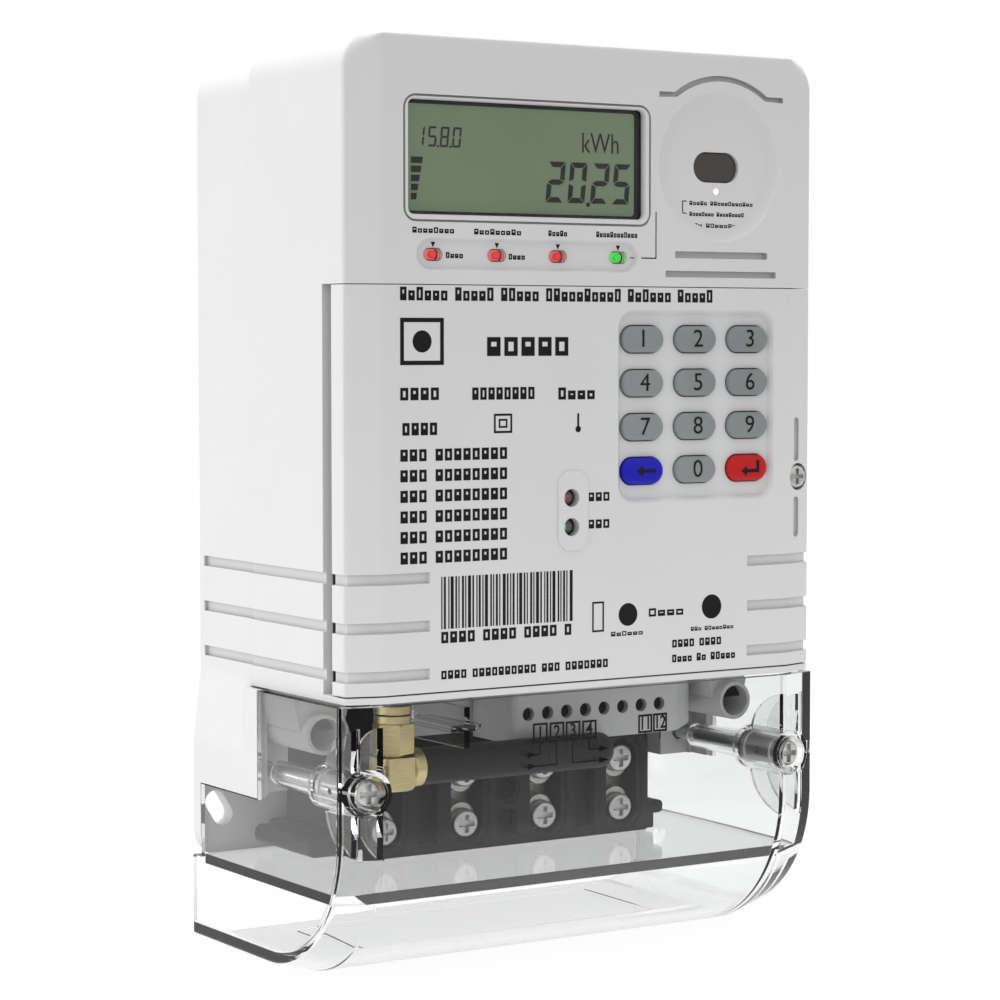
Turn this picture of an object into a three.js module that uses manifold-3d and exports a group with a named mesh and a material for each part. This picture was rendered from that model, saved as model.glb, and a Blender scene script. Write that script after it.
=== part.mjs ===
// Single-phase prepaid electricity meter for a wall, in millimetres.
// X runs to the right, Y into the wall, Z up; the origin is the centre of the back face.
import * as THREE from 'three';
import { mergeVertices } from 'three/addons/utils/BufferGeometryUtils.js';
import Module from 'manifold-3d';

const wasm = await Module();
wasm.setup();

// ---------- driving dimensions ----------
const FRONT = -70; // front face, measured from the wall at y = 0
const TOP = 100; // top of the front case
const FLAT_HALF = 53; // half width of the flat front
const SIDE = 61; // half width across the side faces
const CHAMFER = 2.5; // how far the front corners fall back
const CORNER = 8; // radius of the top corners
const WALL = 2.4; // moulded wall of the cases
const GAP = 0.3; // clearance between neighbouring pieces
const SEAM = -26; // where front and rear case meet

const REAR_SIDE = 60.5; // half width of the rear case
const SKIRT_SIDE = 62.4; // half width beside the terminals
const REAR_TOP = 97.7;
const PLATE_FRONT = -4.3; // inner face of the back plate
const PLATE_BOTTOM = -80;
const SKIRT_BOTTOM = -63.4; // lower edge of the white side walls
const SKIRT_FRONT = -31.5;

const DOOR_TOP = 47.8;
const DOOR_BOTTOM = -37.6;
const DOOR_BACK = -62.4; // rear edge of the door's rim
const BAY_FRONT = -61.8; // case face behind the door
const HINGE_X = -57.5;
const HINGE_Y = -64.5;
const FLANGE_BOTTOM = -39.3; // underside of the front case

const COVER_TOP = -39.9;
const COVER_BOTTOM = -101;
const COVER_CURVE = 34; // radius of the cover's lower front
const COVER_WALL = 2.2;
const SHELF_TOP = -79.6;

const POLE_COUNT = 4;
const POLE_PITCH = 21.3;
const BLOCK_HALF = 39.4;
const BLOCK_FRONT = -34.4;
const BLOCK_TOP = -55.5;
const BLOCK_BOTTOM = -79.3;
const SCREW_ROWS = [-61.6, -73.3];
const SCREW_FACE = -34; // heads sit just inside the block's face

const COVER_SCREW_X = 55.4;
const COVER_SCREW_Z = -58.2;
const BOSS_X = 54;
const BOSS_Z = -48;

const ANTENNA_X = -42.6;
const ANTENNA_Y = -55.4;
const ANTENNA_Z = -55.4;

const PORT_X = 33.5;
const PORT_Z = 74.3;
const LAMP_Z = 54;
const LAMP_X = [-40.4, -24.6, -9.1, 6.6];
const KEY_X = [13.1, 27.5, 41.9];
const KEY_Z = [36.3, 26.7, 17.1, 7.5];
const KEY_SIZE = [11, 5.8];
const KEY_FRONT = FRONT - 0.2;
const KEY_BACK = -65.6;
const PAD_DEPTH = 1.3; // recess round the keys
const STATUS_X = -6.1;
const STATUS_Z = [2.2, -4.1];
const DOOR_SCREW = [57, 5.1];
const GROOVE_TOPS = [-12.3, -22.4, -32.5];
const GROOVE_HEIGHT = 2.3;

// ---------- geometry helpers ----------
function toSolid(geometry) {
  const bare = geometry.clone();
  bare.deleteAttribute('normal');
  bare.deleteAttribute('uv');
  const merged = mergeVertices(bare, 1e-4);
  const vertProperties = new Float32Array(merged.attributes.position.array);
  const corners = merged.index.array;
  const kept = [];
  for (let i = 0; i < corners.length; i += 3) {
    const [a, b, c] = [corners[i], corners[i + 1], corners[i + 2]];
    if (a !== b && b !== c && c !== a) kept.push(a, b, c);
  }
  const triVerts = new Uint32Array(kept);
  return new wasm.Manifold(new wasm.Mesh({ numProp: 3, vertProperties, triVerts }));
}

function toGeometry(solid) {
  const mesh = solid.getMesh();
  const geometry = new THREE.BufferGeometry();
  geometry.setAttribute('position', new THREE.BufferAttribute(mesh.vertProperties, 3));
  geometry.setIndex(new THREE.BufferAttribute(mesh.triVerts, 1));
  return geometry;
}

function unite(geometries) {
  return toGeometry(geometries.map(toSolid).reduce((a, b) => a.add(b)));
}

function carve(geometry, tools) {
  return toGeometry(tools.map(toSolid).reduce((a, b) => a.subtract(b), toSolid(geometry)));
}

function overlap(a, b) {
  return toGeometry(toSolid(a).intersect(toSolid(b)));
}

function slab(x0, x1, y0, y1, z0, z1) {
  const box = new THREE.BoxGeometry(x1 - x0, y1 - y0, z1 - z0);
  return box.translate((x0 + x1) / 2, (y0 + y1) / 2, (z0 + z1) / 2);
}

function polygon(points) {
  return new THREE.Shape(points.map(([x, y]) => new THREE.Vector2(x, y)));
}

function roundRect(x0, x1, z0, z1, r) {
  const shape = new THREE.Shape();
  shape.moveTo(x0 + r, z0);
  shape.lineTo(x1 - r, z0);
  shape.absarc(x1 - r, z0 + r, r, -Math.PI / 2, 0);
  shape.absarc(x1 - r, z1 - r, r, 0, Math.PI / 2);
  shape.absarc(x0 + r, z1 - r, r, Math.PI / 2, Math.PI);
  shape.absarc(x0 + r, z0 + r, r, Math.PI, Math.PI * 1.5);
  return shape;
}

function stadium(x, z, width, height) {
  const r = Math.min(width, height) / 2 - 0.01;
  return roundRect(x - width / 2, x + width / 2, z - height / 2, z + height / 2, r);
}

// an outline in X and Z, from the depth yFront back to yBack
function alongY(shape, yFront, yBack, curveSegments = 4) {
  const solid = new THREE.ExtrudeGeometry(shape, { depth: yBack - yFront, bevelEnabled: false, curveSegments });
  return solid.rotateX(Math.PI / 2).translate(0, yBack, 0);
}

// an outline in X and Y, from z0 up to z1
function alongZ(shape, z0, z1, curveSegments = 4) {
  const solid = new THREE.ExtrudeGeometry(shape, { depth: z1 - z0, bevelEnabled: false, curveSegments });
  return solid.translate(0, 0, z0);
}

// an outline in Y and Z, from x0 to x1
function alongX(shape, x0, x1, extra = {}) {
  const options = { depth: x1 - x0, bevelEnabled: false, curveSegments: 8, ...extra };
  const solid = new THREE.ExtrudeGeometry(shape, options).translate(0, 0, x0);
  const turn = new THREE.Matrix4().makeBasis(
    new THREE.Vector3(0, 1, 0),
    new THREE.Vector3(0, 0, 1),
    new THREE.Vector3(1, 0, 0),
  );
  return solid.applyMatrix4(turn);
}

function rodY(x, z, r, y0, y1, sides = 16) {
  return new THREE.CylinderGeometry(r, r, y1 - y0, sides).translate(x, (y0 + y1) / 2, z);
}

function rodZ(x, y, r, z0, z1, sides = 16) {
  return new THREE.CylinderGeometry(r, r, z1 - z0, sides).rotateX(Math.PI / 2).translate(x, y, (z0 + z1) / 2);
}

function rodX(y, z, r, x0, x1, sides = 16) {
  return new THREE.CylinderGeometry(r, r, x1 - x0, sides).rotateZ(Math.PI / 2).translate((x0 + x1) / 2, y, z);
}

// a turned piece about Y, from the [radius, y] corners of its section, anticlockwise
function turnedY(corners, sides = 16) {
  const ring = corners[0][0] === 0 ? corners : [...corners, corners[0]];
  return new THREE.LatheGeometry(ring.map(([r, y]) => new THREE.Vector2(r, y)), sides);
}

function both(make) {
  return [make(-1), make(1)];
}

// ---------- materials ----------
function plastic(color, roughness = 0.5) {
  return new THREE.MeshStandardMaterial({ color, roughness, metalness: 0 });
}

function metal(color, roughness = 0.35) {
  return new THREE.MeshStandardMaterial({ color, roughness, metalness: 1 });
}

function clear(color, opacity = 0.3) {
  return new THREE.MeshStandardMaterial({ color, roughness: 0.05, metalness: 0, transparent: true, opacity });
}

const caseWhite = plastic(0xe4e4e2);
const blockBlack = plastic(0x2e2e2e);
const clearPlastic = clear(0xdfe3e6);
const steel = metal(0x9a9a98);
const brass = metal(0xb8a66a);
const keyGrey = plastic(0x868e8f, 0.6);
const boardGreen = plastic(0x1f5a38);

const meter = new THREE.Group();

function add(name, geometry, material, parent = meter) {
  const mesh = new THREE.Mesh(geometry, material.clone());
  mesh.name = name;
  parent.add(mesh);
  return mesh;
}

// ---------- shared outlines ----------
function planOutline(inset, yBack) {
  const side = SIDE - inset;
  const flat = FLAT_HALF - inset * 0.4;
  const front = FRONT + inset;
  return polygon([[-side, yBack], [-side, front + CHAMFER], [-flat, front], [flat, front], [side, front + CHAMFER], [side, yBack]]);
}

function topRoundOutline(half, zBottom, zTop, r) {
  const shape = new THREE.Shape();
  shape.moveTo(-half, zBottom);
  shape.lineTo(half, zBottom);
  shape.absarc(half - r, zTop - r, r, 0, Math.PI / 2);
  shape.absarc(-half + r, zTop - r, r, Math.PI / 2, Math.PI);
  return shape;
}

// three shallow grooves that run round a side, cut to the depth given
function sideGrooves(half, yFront, yBack, depth) {
  return GROOVE_TOPS.flatMap((z) => both((s) => {
    const inner = s * (half - depth);
    const outer = s * (half + 3);
    return slab(Math.min(inner, outer), Math.max(inner, outer), yFront, yBack, z - GROOVE_HEIGHT, z);
  }));
}

// a pan head with a cross recess, its face at y = 0 and its shank running to +Y
function crossScrew(headRadius, headLength, shankRadius, length, crossWidth) {
  const body = turnedY([
    [0, 0], [headRadius, 0], [headRadius, headLength], [shankRadius, headLength], [shankRadius, length], [0, length],
  ], 18);
  const arm = headRadius * 0.72;
  const deep = Math.min(1.2, headLength * 0.6);
  const cross = [
    slab(-arm, arm, -1, deep, -crossWidth / 2, crossWidth / 2),
    slab(-crossWidth / 2, crossWidth / 2, -1, deep, -arm, arm),
  ];
  return carve(body, cross);
}

// ---------- rear case ----------
function rearCase() {
  const outline = new THREE.Shape();
  outline.moveTo(-SKIRT_SIDE + 5, PLATE_BOTTOM);
  outline.lineTo(SKIRT_SIDE - 5, PLATE_BOTTOM);
  outline.absarc(SKIRT_SIDE - 5, PLATE_BOTTOM + 5, 5, -Math.PI / 2, 0);
  outline.lineTo(SKIRT_SIDE, -54);
  outline.lineTo(REAR_SIDE, -34);
  outline.absarc(REAR_SIDE - CORNER, REAR_TOP - CORNER, CORNER, 0, Math.PI / 2);
  outline.absarc(-REAR_SIDE + CORNER, REAR_TOP - CORNER, CORNER, Math.PI / 2, Math.PI);
  outline.lineTo(-REAR_SIDE, -34);
  outline.lineTo(-SKIRT_SIDE, -54);
  outline.absarc(-SKIRT_SIDE + 5, PLATE_BOTTOM + 5, 5, Math.PI, Math.PI * 1.5);
  const inner = SIDE - 3.2;
  const shell = carve(alongY(outline, SEAM + GAP, 0), [
    alongY(topRoundOutline(inner, -37.3, REAR_TOP - WALL, CORNER - WALL), SEAM - 1, PLATE_FRONT),
    slab(-inner, inner, SEAM - 1, PLATE_FRONT, SKIRT_BOTTOM - 1, FLANGE_BOTTOM),
    slab(-70, 70, SEAM - 1, PLATE_FRONT, PLATE_BOTTOM - 1, SKIRT_BOTTOM),
    slab(-40, 34, SEAM - 1, PLATE_FRONT, -42, -36), // way up for the terminal links
    ...sideGrooves(REAR_SIDE, SEAM - 1, -3, 0.8),
  ]);
  const cheeks = both((s) => {
    const skirt = s > 0 ? [SIDE - 2.3, SKIRT_SIDE] : [-SKIRT_SIDE, -SIDE + 2.3];
    const tongue = s > 0 ? [SIDE - 2.3, SIDE - 0.9] : [-SIDE + 0.9, -SIDE + 2.3];
    return unite([
      slab(...skirt, SKIRT_FRONT, SEAM + 1, SKIRT_BOTTOM, COVER_TOP),
      slab(...tongue, -47, SEAM + 1, SKIRT_BOTTOM, COVER_TOP),
      slab(s > 0 ? 50 : -60, s > 0 ? 60 : -50, -24.8, PLATE_FRONT + 0.5, SKIRT_BOTTOM, FLANGE_BOTTOM + 0.2),
    ]);
  });
  const slots = both((s) => {
    const slot = alongY(stadium(0, 0, 5, 8.6), -5, 1);
    return slot.rotateY(s * 0.55).translate(s * 56.6, 0, -69.6);
  });
  const bores = both((s) => rodY(s * BOSS_X, BOSS_Z, 1.9, -30, -9, 12));
  const inserts = both((s) => rodY(s * COVER_SCREW_X, COVER_SCREW_Z, 1.9, -30, -14, 12));
  const bracketPocket = alongY(roundRect(-13, 13, 66, 94, 2), -2.3, 1);
  return carve(unite([shell, ...cheeks]), [...slots, ...bores, ...inserts, bracketPocket]);
}
add('rear_case', rearCase(), caseWhite);

function hangingBracket() {
  const plate = alongY(roundRect(-12.6, 12.6, 66.4, 93.6, 1.6), -2, -GAP);
  const keyhole = unite([
    rodY(0, 76, 4.2, -4, 1, 20),
    alongY(stadium(0, 81.5, 4.6, 13), -4, 1),
  ]);
  return carve(plate, [keyhole]);
}
add('hanging_bracket', hangingBracket(), steel);

function caseGasket() {
  const ring = alongY(topRoundOutline(57.4, -36.6, 94.6, 5), -27.4, -24.9);
  return carve(ring, [alongY(topRoundOutline(56, -35.2, 93.2, 4), -29, -23)]);
}
add('case_gasket', caseGasket(), plastic(0x30343a, 0.8));

// ---------- front case ----------
function frontCase() {
  const face = overlap(
    alongZ(planOutline(0, SEAM - GAP), -60, TOP + 1),
    alongY(topRoundOutline(SIDE, FLANGE_BOTTOM, TOP, CORNER), FRONT - 1, SEAM - GAP, 6),
  );
  const roomHalf = SIDE - WALL;
  const hollow = [
    alongY(topRoundOutline(roomHalf, DOOR_TOP + WALL, TOP - WALL, CORNER - WALL), FRONT + WALL, SEAM + 1),
    slab(-roomHalf, roomHalf, BAY_FRONT + 2, SEAM + 1, -37.3, DOOR_TOP + WALL + 1),
  ];
  const doorSpace = [
    slab(-70, 70, FRONT - 1, BAY_FRONT, -37.9, DOOR_TOP),
    slab(-70, 70, FRONT - 1, FRONT + 4, FLANGE_BOTTOM - 1, 0),
    slab(-70, -53.8, BAY_FRONT - 1, -58.6, -37.9, DOOR_TOP),
  ];
  const shell = carve(face, [...hollow, ...doorSpace]);
  const tray = carve(slab(-53.5, 2.5, BAY_FRONT, -41, FLANGE_BOTTOM, 41.5), [slab(-52, 1, FRONT, -42.5, -36, 40)]);
  const auxOutline = polygon([[-9, -51.3], [35.1, -51.3], [46.6, -41], [46.6, -34], [-9, -34]]);
  const auxHousing = carve(alongZ(auxOutline, -53.3, FLANGE_BOTTOM + 1), [slab(-7.4, 33.6, -49.7, -30, -54, -41.5)]);
  const bosses = both((s) => unite([
    rodY(s * BOSS_X, BOSS_Z, 4.4, -48.8, SEAM - GAP, 20),
    slab(s * BOSS_X - 4, s * BOSS_X + 4, -48.8, SEAM - GAP, BOSS_Z + 0.5, FLANGE_BOTTOM + 1),
  ]));
  const cuts = [
    alongY(stadium(PORT_X, PORT_Z, 12.4, 6.7), FRONT - 1, -60, 6), // optical window
    alongY(roundRect(-45.9, 11.9, 62.6, 86.2, 2), FRONT - 1, FRONT + 3),
    slab(-47.2, 13.2, FRONT + 1.4, FRONT + 3, 61.4, 87.4),
    alongY(stadium(-16.7, LAMP_Z, 56.2, 7), FRONT - 1, FRONT + 0.9, 6),
    ...LAMP_X.map((x) => alongY(stadium(x, LAMP_Z, 4.9, 2.9), FRONT - 1, FRONT + 4)),
    turnedY([[0, -0.5], [16.5, -0.5], [16.5, 0], [14.6, 1.3], [0, 1.3]], 36).translate(PORT_X, FRONT, PORT_Z),
    slab(21.4, 46.9, FRONT - 1, FRONT + 1, 54.1, 55.5),
    slab(18.8, 49.4, FRONT - 1, FRONT + 1, 49.9, 51.2),
    ...both((s) => rodY(s * BOSS_X, BOSS_Z, 3.5, -50, -34, 20)),
    ...both((s) => rodY(s * BOSS_X, BOSS_Z, 1.9, -36, -20, 12)),
    slab(-52, 1, BAY_FRONT - 1, -50, -36, 40), // mouth of the module bay
    slab(-48, -35.2, -67, -46.5, FLANGE_BOTTOM - 1, -35), // module neck
    slab(-34, -14, -44, -40, 8, 16), // module connector
    ...Array.from({ length: 8 }, (_, i) => rodY(-5.3 + 5.1 * i, -46.8, 1.5, -54, -48, 12)),
    rodY(DOOR_SCREW[0], DOOR_SCREW[1], 2.2, -63, -58, 12),
    rodZ(HINGE_X, HINGE_Y, 1.5, FLANGE_BOTTOM - 1, DOOR_TOP + 1.6, 12),
    ...sideGrooves(SIDE, -59, SEAM + 1, 0.8),
  ];
  const arch = new THREE.Shape();
  const span = 0.64;
  arch.absarc(PORT_X + 0.4, 72.4, 22, Math.PI / 2 - span, Math.PI / 2 + span, false);
  arch.absarc(PORT_X + 0.4, 72.4, 20.7, Math.PI / 2 + span, Math.PI / 2 - span, true);
  cuts.push(alongY(arch, FRONT - 1, FRONT + 1, 10));
  cuts.push(slab(17, 21.4, FRONT - 1, FRONT + 1, 89.1, 90.3));
  cuts.push(slab(46.4, 51.2, FRONT - 1, FRONT + 1, 89.1, 90.3));
  return carve(unite([shell, tray, auxHousing, ...bosses]), cuts);
}
add('front_case', frontCase(), caseWhite);

for (const [side, s] of [['left', -1], ['right', 1]]) {
  const screw = add(`case_screw_${side}`, crossScrew(3, 2.4, 1.6, 24, 0.9), steel);
  screw.position.set(s * BOSS_X, -37, BOSS_Z);
}

// ---------- display ----------
add('display_window', slab(-46.9, 12.9, FRONT + 1.7, FRONT + 2.9, 61.7, 87.1), clearPlastic);
add('display_glass', slab(-45, 11, FRONT + 3.3, FRONT + 5.8, 62.4, 86.4), plastic(0x6f8068, 0.3));
add('display_backlight', slab(-47, 13, FRONT + 6.1, FRONT + 9.5, 60.6, 88), plastic(0xe8ece8, 0.5));

// ---------- lamps and optical port ----------
const LAMP_NAMES = ['active_pulse_lamp', 'reactive_pulse_lamp', 'alarm_lamp', 'credit_lamp'];
const lampPipe = alongY(stadium(0, 0, 4.3, 2.3), FRONT + 0.4, -41.3);
LAMP_NAMES.forEach((name, i) => {
  const lamp = add(name, lampPipe, clear(i === 3 ? 0x4fe05a : 0xf06a60, 0.6));
  lamp.position.set(LAMP_X[i], 0, LAMP_Z);
});
const windowPlug = alongY(stadium(PORT_X, PORT_Z, 11.8, 6.1), FRONT + 1.8, -58, 6);
add('optical_window', windowPlug, plastic(0x2a2622, 0.2));

// ---------- electronics ----------
function mainBoard() {
  const board = slab(-52, 52, -40.4, -38.8, -30, 92);
  const corners = [[-47, 86], [47, 86], [-47, -25], [47, -25]];
  return carve(board, corners.map(([x, z]) => rodY(x, z, 1.8, -42, -37, 10)));
}
add('main_board', mainBoard(), boardGreen);
add('backup_battery', rodX(-49, 12, 7, 12, 38, 18), plastic(0x3c6a9c, 0.4));
add('buzzer', rodY(46, 62, 6, -48, -40.7, 18), plastic(0x1c1c1c, 0.4));
add('latching_relay', slab(-42, -4, -38.5, -12, -30, 6), plastic(0x2c4f86, 0.4));

function currentShunt() {
  const outline = polygon([
    [5, -30], [11, -30], [11, -4], [25, -4], [25, -30], [31, -30], [31, 2], [5, 2],
  ]);
  return alongY(outline, -24, -22);
}
add('current_shunt', currentShunt(), metal(0xb87348, 0.4));

// ---------- terminals ----------
const POLE_X = Array.from({ length: POLE_COUNT }, (_, i) => (i - (POLE_COUNT - 1) / 2) * POLE_PITCH);

function terminalBlock() {
  const body = unite([
    slab(-BLOCK_HALF, BLOCK_HALF, BLOCK_FRONT, -4.6, BLOCK_BOTTOM, BLOCK_TOP),
    slab(-BLOCK_HALF + 7.4, BLOCK_HALF - 7.4, -30, -4.6, BLOCK_TOP - 1, -42.3),
    alongY(roundRect(-44, 44, -77.6, -73, 1.6), -12, -4.9),
    alongY(roundRect(-49.5, -34, -77.6, -73.5, 1.6), -33, -8),
    alongY(roundRect(34, 43.9, -75.6, -72.4, 1.2), BLOCK_FRONT, -28),
  ]);
  const cuts = POLE_X.flatMap((x) => [
    alongY(stadium(x, -67.5, 8.4, 20.4), BLOCK_FRONT - 1, -27.5, 5),
    slab(x - 5.3, x + 5.3, -28, -10.7, BLOCK_BOTTOM - 1, -57.8),
  ]);
  const webs = POLE_X.slice(0, -1).map((x) => x + POLE_PITCH / 2);
  webs.forEach((x, i) => {
    cuts.push(slab(x - 2.6, x + 2.6, BLOCK_FRONT - 1, BLOCK_FRONT + 3, -77, i === 1 ? -70.8 : -58.5));
  });
  cuts.push(rodY(webs[1], -66.2, 3, BLOCK_FRONT - 1, BLOCK_FRONT + 3, 20));
  return carve(body, cuts);
}
add('terminal_block', terminalBlock(), blockBlack);

function terminalClamp() {
  const cage = slab(-5, 5, -27.7, -11, BLOCK_BOTTOM + 1, -58.1);
  const threads = SCREW_ROWS.map((z) => rodY(0, z, 3.5, -29, -20, 16));
  return carve(cage, [rodZ(0, -17.5, 4.2, BLOCK_BOTTOM, -59.6, 18), ...threads]);
}
const clampShape = terminalClamp();
const terminalScrew = crossScrew(3.2, 6, 3, 11.2, 1.1);
POLE_X.forEach((x, i) => {
  add(`terminal_clamp_${i + 1}`, clampShape, brass).position.set(x, 0, 0);
  SCREW_ROWS.forEach((z, row) => {
    const screw = add(`terminal_screw_${i + 1}_${row ? 'lower' : 'upper'}`, terminalScrew, steel);
    screw.position.set(x, SCREW_FACE, z);
  });
});
add('aux_terminal_strip', slab(-7, 33.2, -49.3, -35, -52.8, -42), blockBlack);

// ---------- plug-in communication module and aerial ----------
function commModule() {
  const body = unite([
    slab(-51.4, 0.4, -62.6, -43, -35.4, 39.4),
    slab(-47.7, -35.7, -61, -49, -41.2, -34),
    slab(-46.7, -35.7, -65.6, -60, -40.4, -37.9),
  ]);
  const seats = STATUS_Z.map((z) => rodY(STATUS_X, z, 1.9, -64, -61, 14));
  return carve(body, [...seats, rodZ(ANTENNA_X, ANTENNA_Y, 2.4, -43, -38, 14)]);
}
add('comm_module', commModule(), plastic(0x7e8886));

['power', 'network'].forEach((name, i) => {
  const dome = turnedY([
    [0, 0], [0.8, 0.2], [1.4, 0.8], [1.6, 1.6], [1.6, 5.6], [0, 5.6],
  ], 14);
  const lamp = add(`${name}_lamp`, dome, clear(i ? 0x58c060 : 0xc06058, 0.7));
  lamp.position.set(STATUS_X, -67, STATUS_Z[i]);
});

function smaSocket() {
  return unite([
    rodZ(ANTENNA_X, ANTENNA_Y, 2.1, -47.5, -38.5, 14),
    rodZ(ANTENNA_X, ANTENNA_Y, 4, -43.3, -41.6, 6),
  ]);
}
add('sma_socket', smaSocket(), brass);

const aerial = new THREE.Group();
aerial.position.set(ANTENNA_X, ANTENNA_Y, 0);
meter.add(aerial);

function antennaNut() {
  const nut = unite([rodZ(0, 0, 4.6, -52.2, -45.4, 6), rodZ(0, 0, 3.9, -46, -43.7, 18)]);
  return carve(nut, [rodZ(0, 0, 2.6, -53, -43, 14)]);
}
add('antenna_nut', antennaNut(), brass, aerial);

function antennaElbow() {
  const body = overlap(rodZ(0, 0, 4, -60, -52.6, 18), slab(-3.6, 3.6, -5, 5, -60, -52));
  const spigot = rodZ(0, 0, 2.2, -53, -48, 14);
  const arm = rodX(0, ANTENNA_Z, 2.8, 1, 6, 18);
  const ring = rodX(0, ANTENNA_Z, 4.1, 5.2, 8, 18);
  return unite([body, spigot, arm, ring]);
}
add('antenna_elbow', antennaElbow(), brass, aerial);

function antennaSleeve() {
  const end = 56;
  const points = [[0, 8.3], [4, 8.3], [4, end - 2.8], [3.2, end - 0.9], [1.8, end], [0, end]];
  return turnedY(points, 20).rotateZ(-Math.PI / 2).translate(0, 0, ANTENNA_Z);
}
add('antenna_sleeve', antennaSleeve(), plastic(0x1e1e1e, 0.5), aerial);

// ---------- front door with keypad ----------
function frontDoor() {
  const top = DOOR_TOP - GAP;
  const shell = carve(alongZ(planOutline(0, DOOR_BACK), DOOR_BOTTOM, top), [
    alongZ(planOutline(2, DOOR_BACK + 1), DOOR_BOTTOM + 2, top - 2),
  ]);
  const pins = [
    rodZ(HINGE_X, HINGE_Y, 1.2, top - 3, DOOR_TOP + 1.3, 12),
    rodZ(HINGE_X, HINGE_Y, 1.2, FLANGE_BOTTOM + 0.2, DOOR_BOTTOM + 3, 12),
  ];
  const [screwX, screwZ] = DOOR_SCREW;
  const boss = rodY(screwX - 0.6, screwZ, 3.6, -68, -63, 16);
  const grooves = GROOVE_TOPS.flatMap((z) => both((s) => {
    const outer = planOutline(-3, DOOR_BACK + 2);
    const band = carve(alongZ(outer, z - GROOVE_HEIGHT, z), [alongZ(planOutline(0.8, DOOR_BACK + 3), z - 5, z + 5)]);
    return overlap(band, s > 0 ? slab(41.2, 70, -80, -50, z - 5, z + 5) : slab(-70, -41.2, -80, -50, z - 5, z + 5));
  }));
  const keyHoles = KEY_X.flatMap((x) => KEY_Z.map((z) => (
    alongY(stadium(x, z, KEY_SIZE[0] + 0.7, KEY_SIZE[1] + 0.7), FRONT - 1, -66, 5)
  )));
  const octagon = polygon([
    [-9.5, -7.2], [-7.6, -9.2], [-3.6, -9.2], [-1.7, -7.2], [-1.7, 6], [-3.6, 7.9], [-7.6, 7.9], [-9.5, 6],
  ]);
  return carve(unite([shell, ...pins, boss, alongY(octagon, FRONT - 0.3, FRONT + 1)]), [
    ...grooves,
    ...keyHoles,
    alongY(roundRect(6.3, 48.9, 0.6, 42.7, 3.5), FRONT - 1, FRONT + PAD_DEPTH, 5),
    ...STATUS_Z.map((z) => rodY(STATUS_X, z, 1.95, FRONT - 1, -66, 16)),
    rodY(screwX, screwZ, 3.1, FRONT - 1, -66.4, 18),
    rodY(screwX, screwZ, 1.7, -68, -62, 12),
  ]);
}
add('front_door', frontDoor(), caseWhite);

const doorScrew = add('door_screw', crossScrew(2.6, 1.8, 1.3, 9, 0.8), steel);
doorScrew.position.set(DOOR_SCREW[0], -68.6, DOOR_SCREW[1]);

function keypadMembrane() {
  const sheet = slab(4.6, 50.6, -67.7, -66.6, -1, 44.4);
  const holes = KEY_X.flatMap((x) => KEY_Z.map((z) => (
    alongY(stadium(x, z, KEY_SIZE[0] + 0.7, KEY_SIZE[1] + 0.7), -69, -65)
  )));
  return carve(sheet, holes);
}
add('keypad_membrane', keypadMembrane(), plastic(0x7c8486, 0.8));
add('keypad_board', slab(4, 52.4, -64.6, -63, -3, 45), boardGreen);

const KEY_NAMES = [
  ['key_1', 'key_2', 'key_3'],
  ['key_4', 'key_5', 'key_6'],
  ['key_7', 'key_8', 'key_9'],
  ['key_back', 'key_0', 'key_enter'],
];
function keyCap() {
  const depth = KEY_BACK - KEY_FRONT;
  const shape = stadium(0, 0, KEY_SIZE[0] - 0.8, KEY_SIZE[1] - 0.8);
  const cap = new THREE.ExtrudeGeometry(shape, {
    depth: depth - 0.8,
    bevelThickness: 0.4,
    bevelSize: 0.4,
    bevelSegments: 1,
    curveSegments: 4,
  });
  return cap.rotateX(Math.PI / 2).translate(0, -0.4, 0);
}
const keyShape = keyCap();
KEY_NAMES.forEach((row, j) => row.forEach((name, i) => {
  const colours = { key_back: 0x2020a8, key_enter: 0xc02828 };
  const key = add(name, keyShape, colours[name] ? plastic(colours[name], 0.5) : keyGrey);
  key.position.set(KEY_X[i], KEY_BACK, KEY_Z[j]);
}));

// ---------- clear terminal cover ----------
function coverSide(inset) {
  const front = FRONT + inset;
  const bottom = COVER_BOTTOM + inset;
  const r = COVER_CURVE - inset;
  const shape = new THREE.Shape();
  shape.moveTo(front, -20);
  shape.lineTo(front, bottom + r);
  shape.absarc(front + r, bottom + r, r, Math.PI, Math.PI * 1.5);
  shape.lineTo(30, bottom);
  shape.lineTo(30, -20);
  return shape;
}

function coverBody(inset) {
  const flat = FLAT_HALF - inset * 0.4;
  const bevel = { bevelEnabled: true, bevelThickness: SKIRT_SIDE - inset - flat, bevelSize: CHAMFER, bevelOffset: -CHAMFER, bevelSegments: 1 };
  return alongX(coverSide(inset), -flat, flat, bevel);
}

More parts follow.
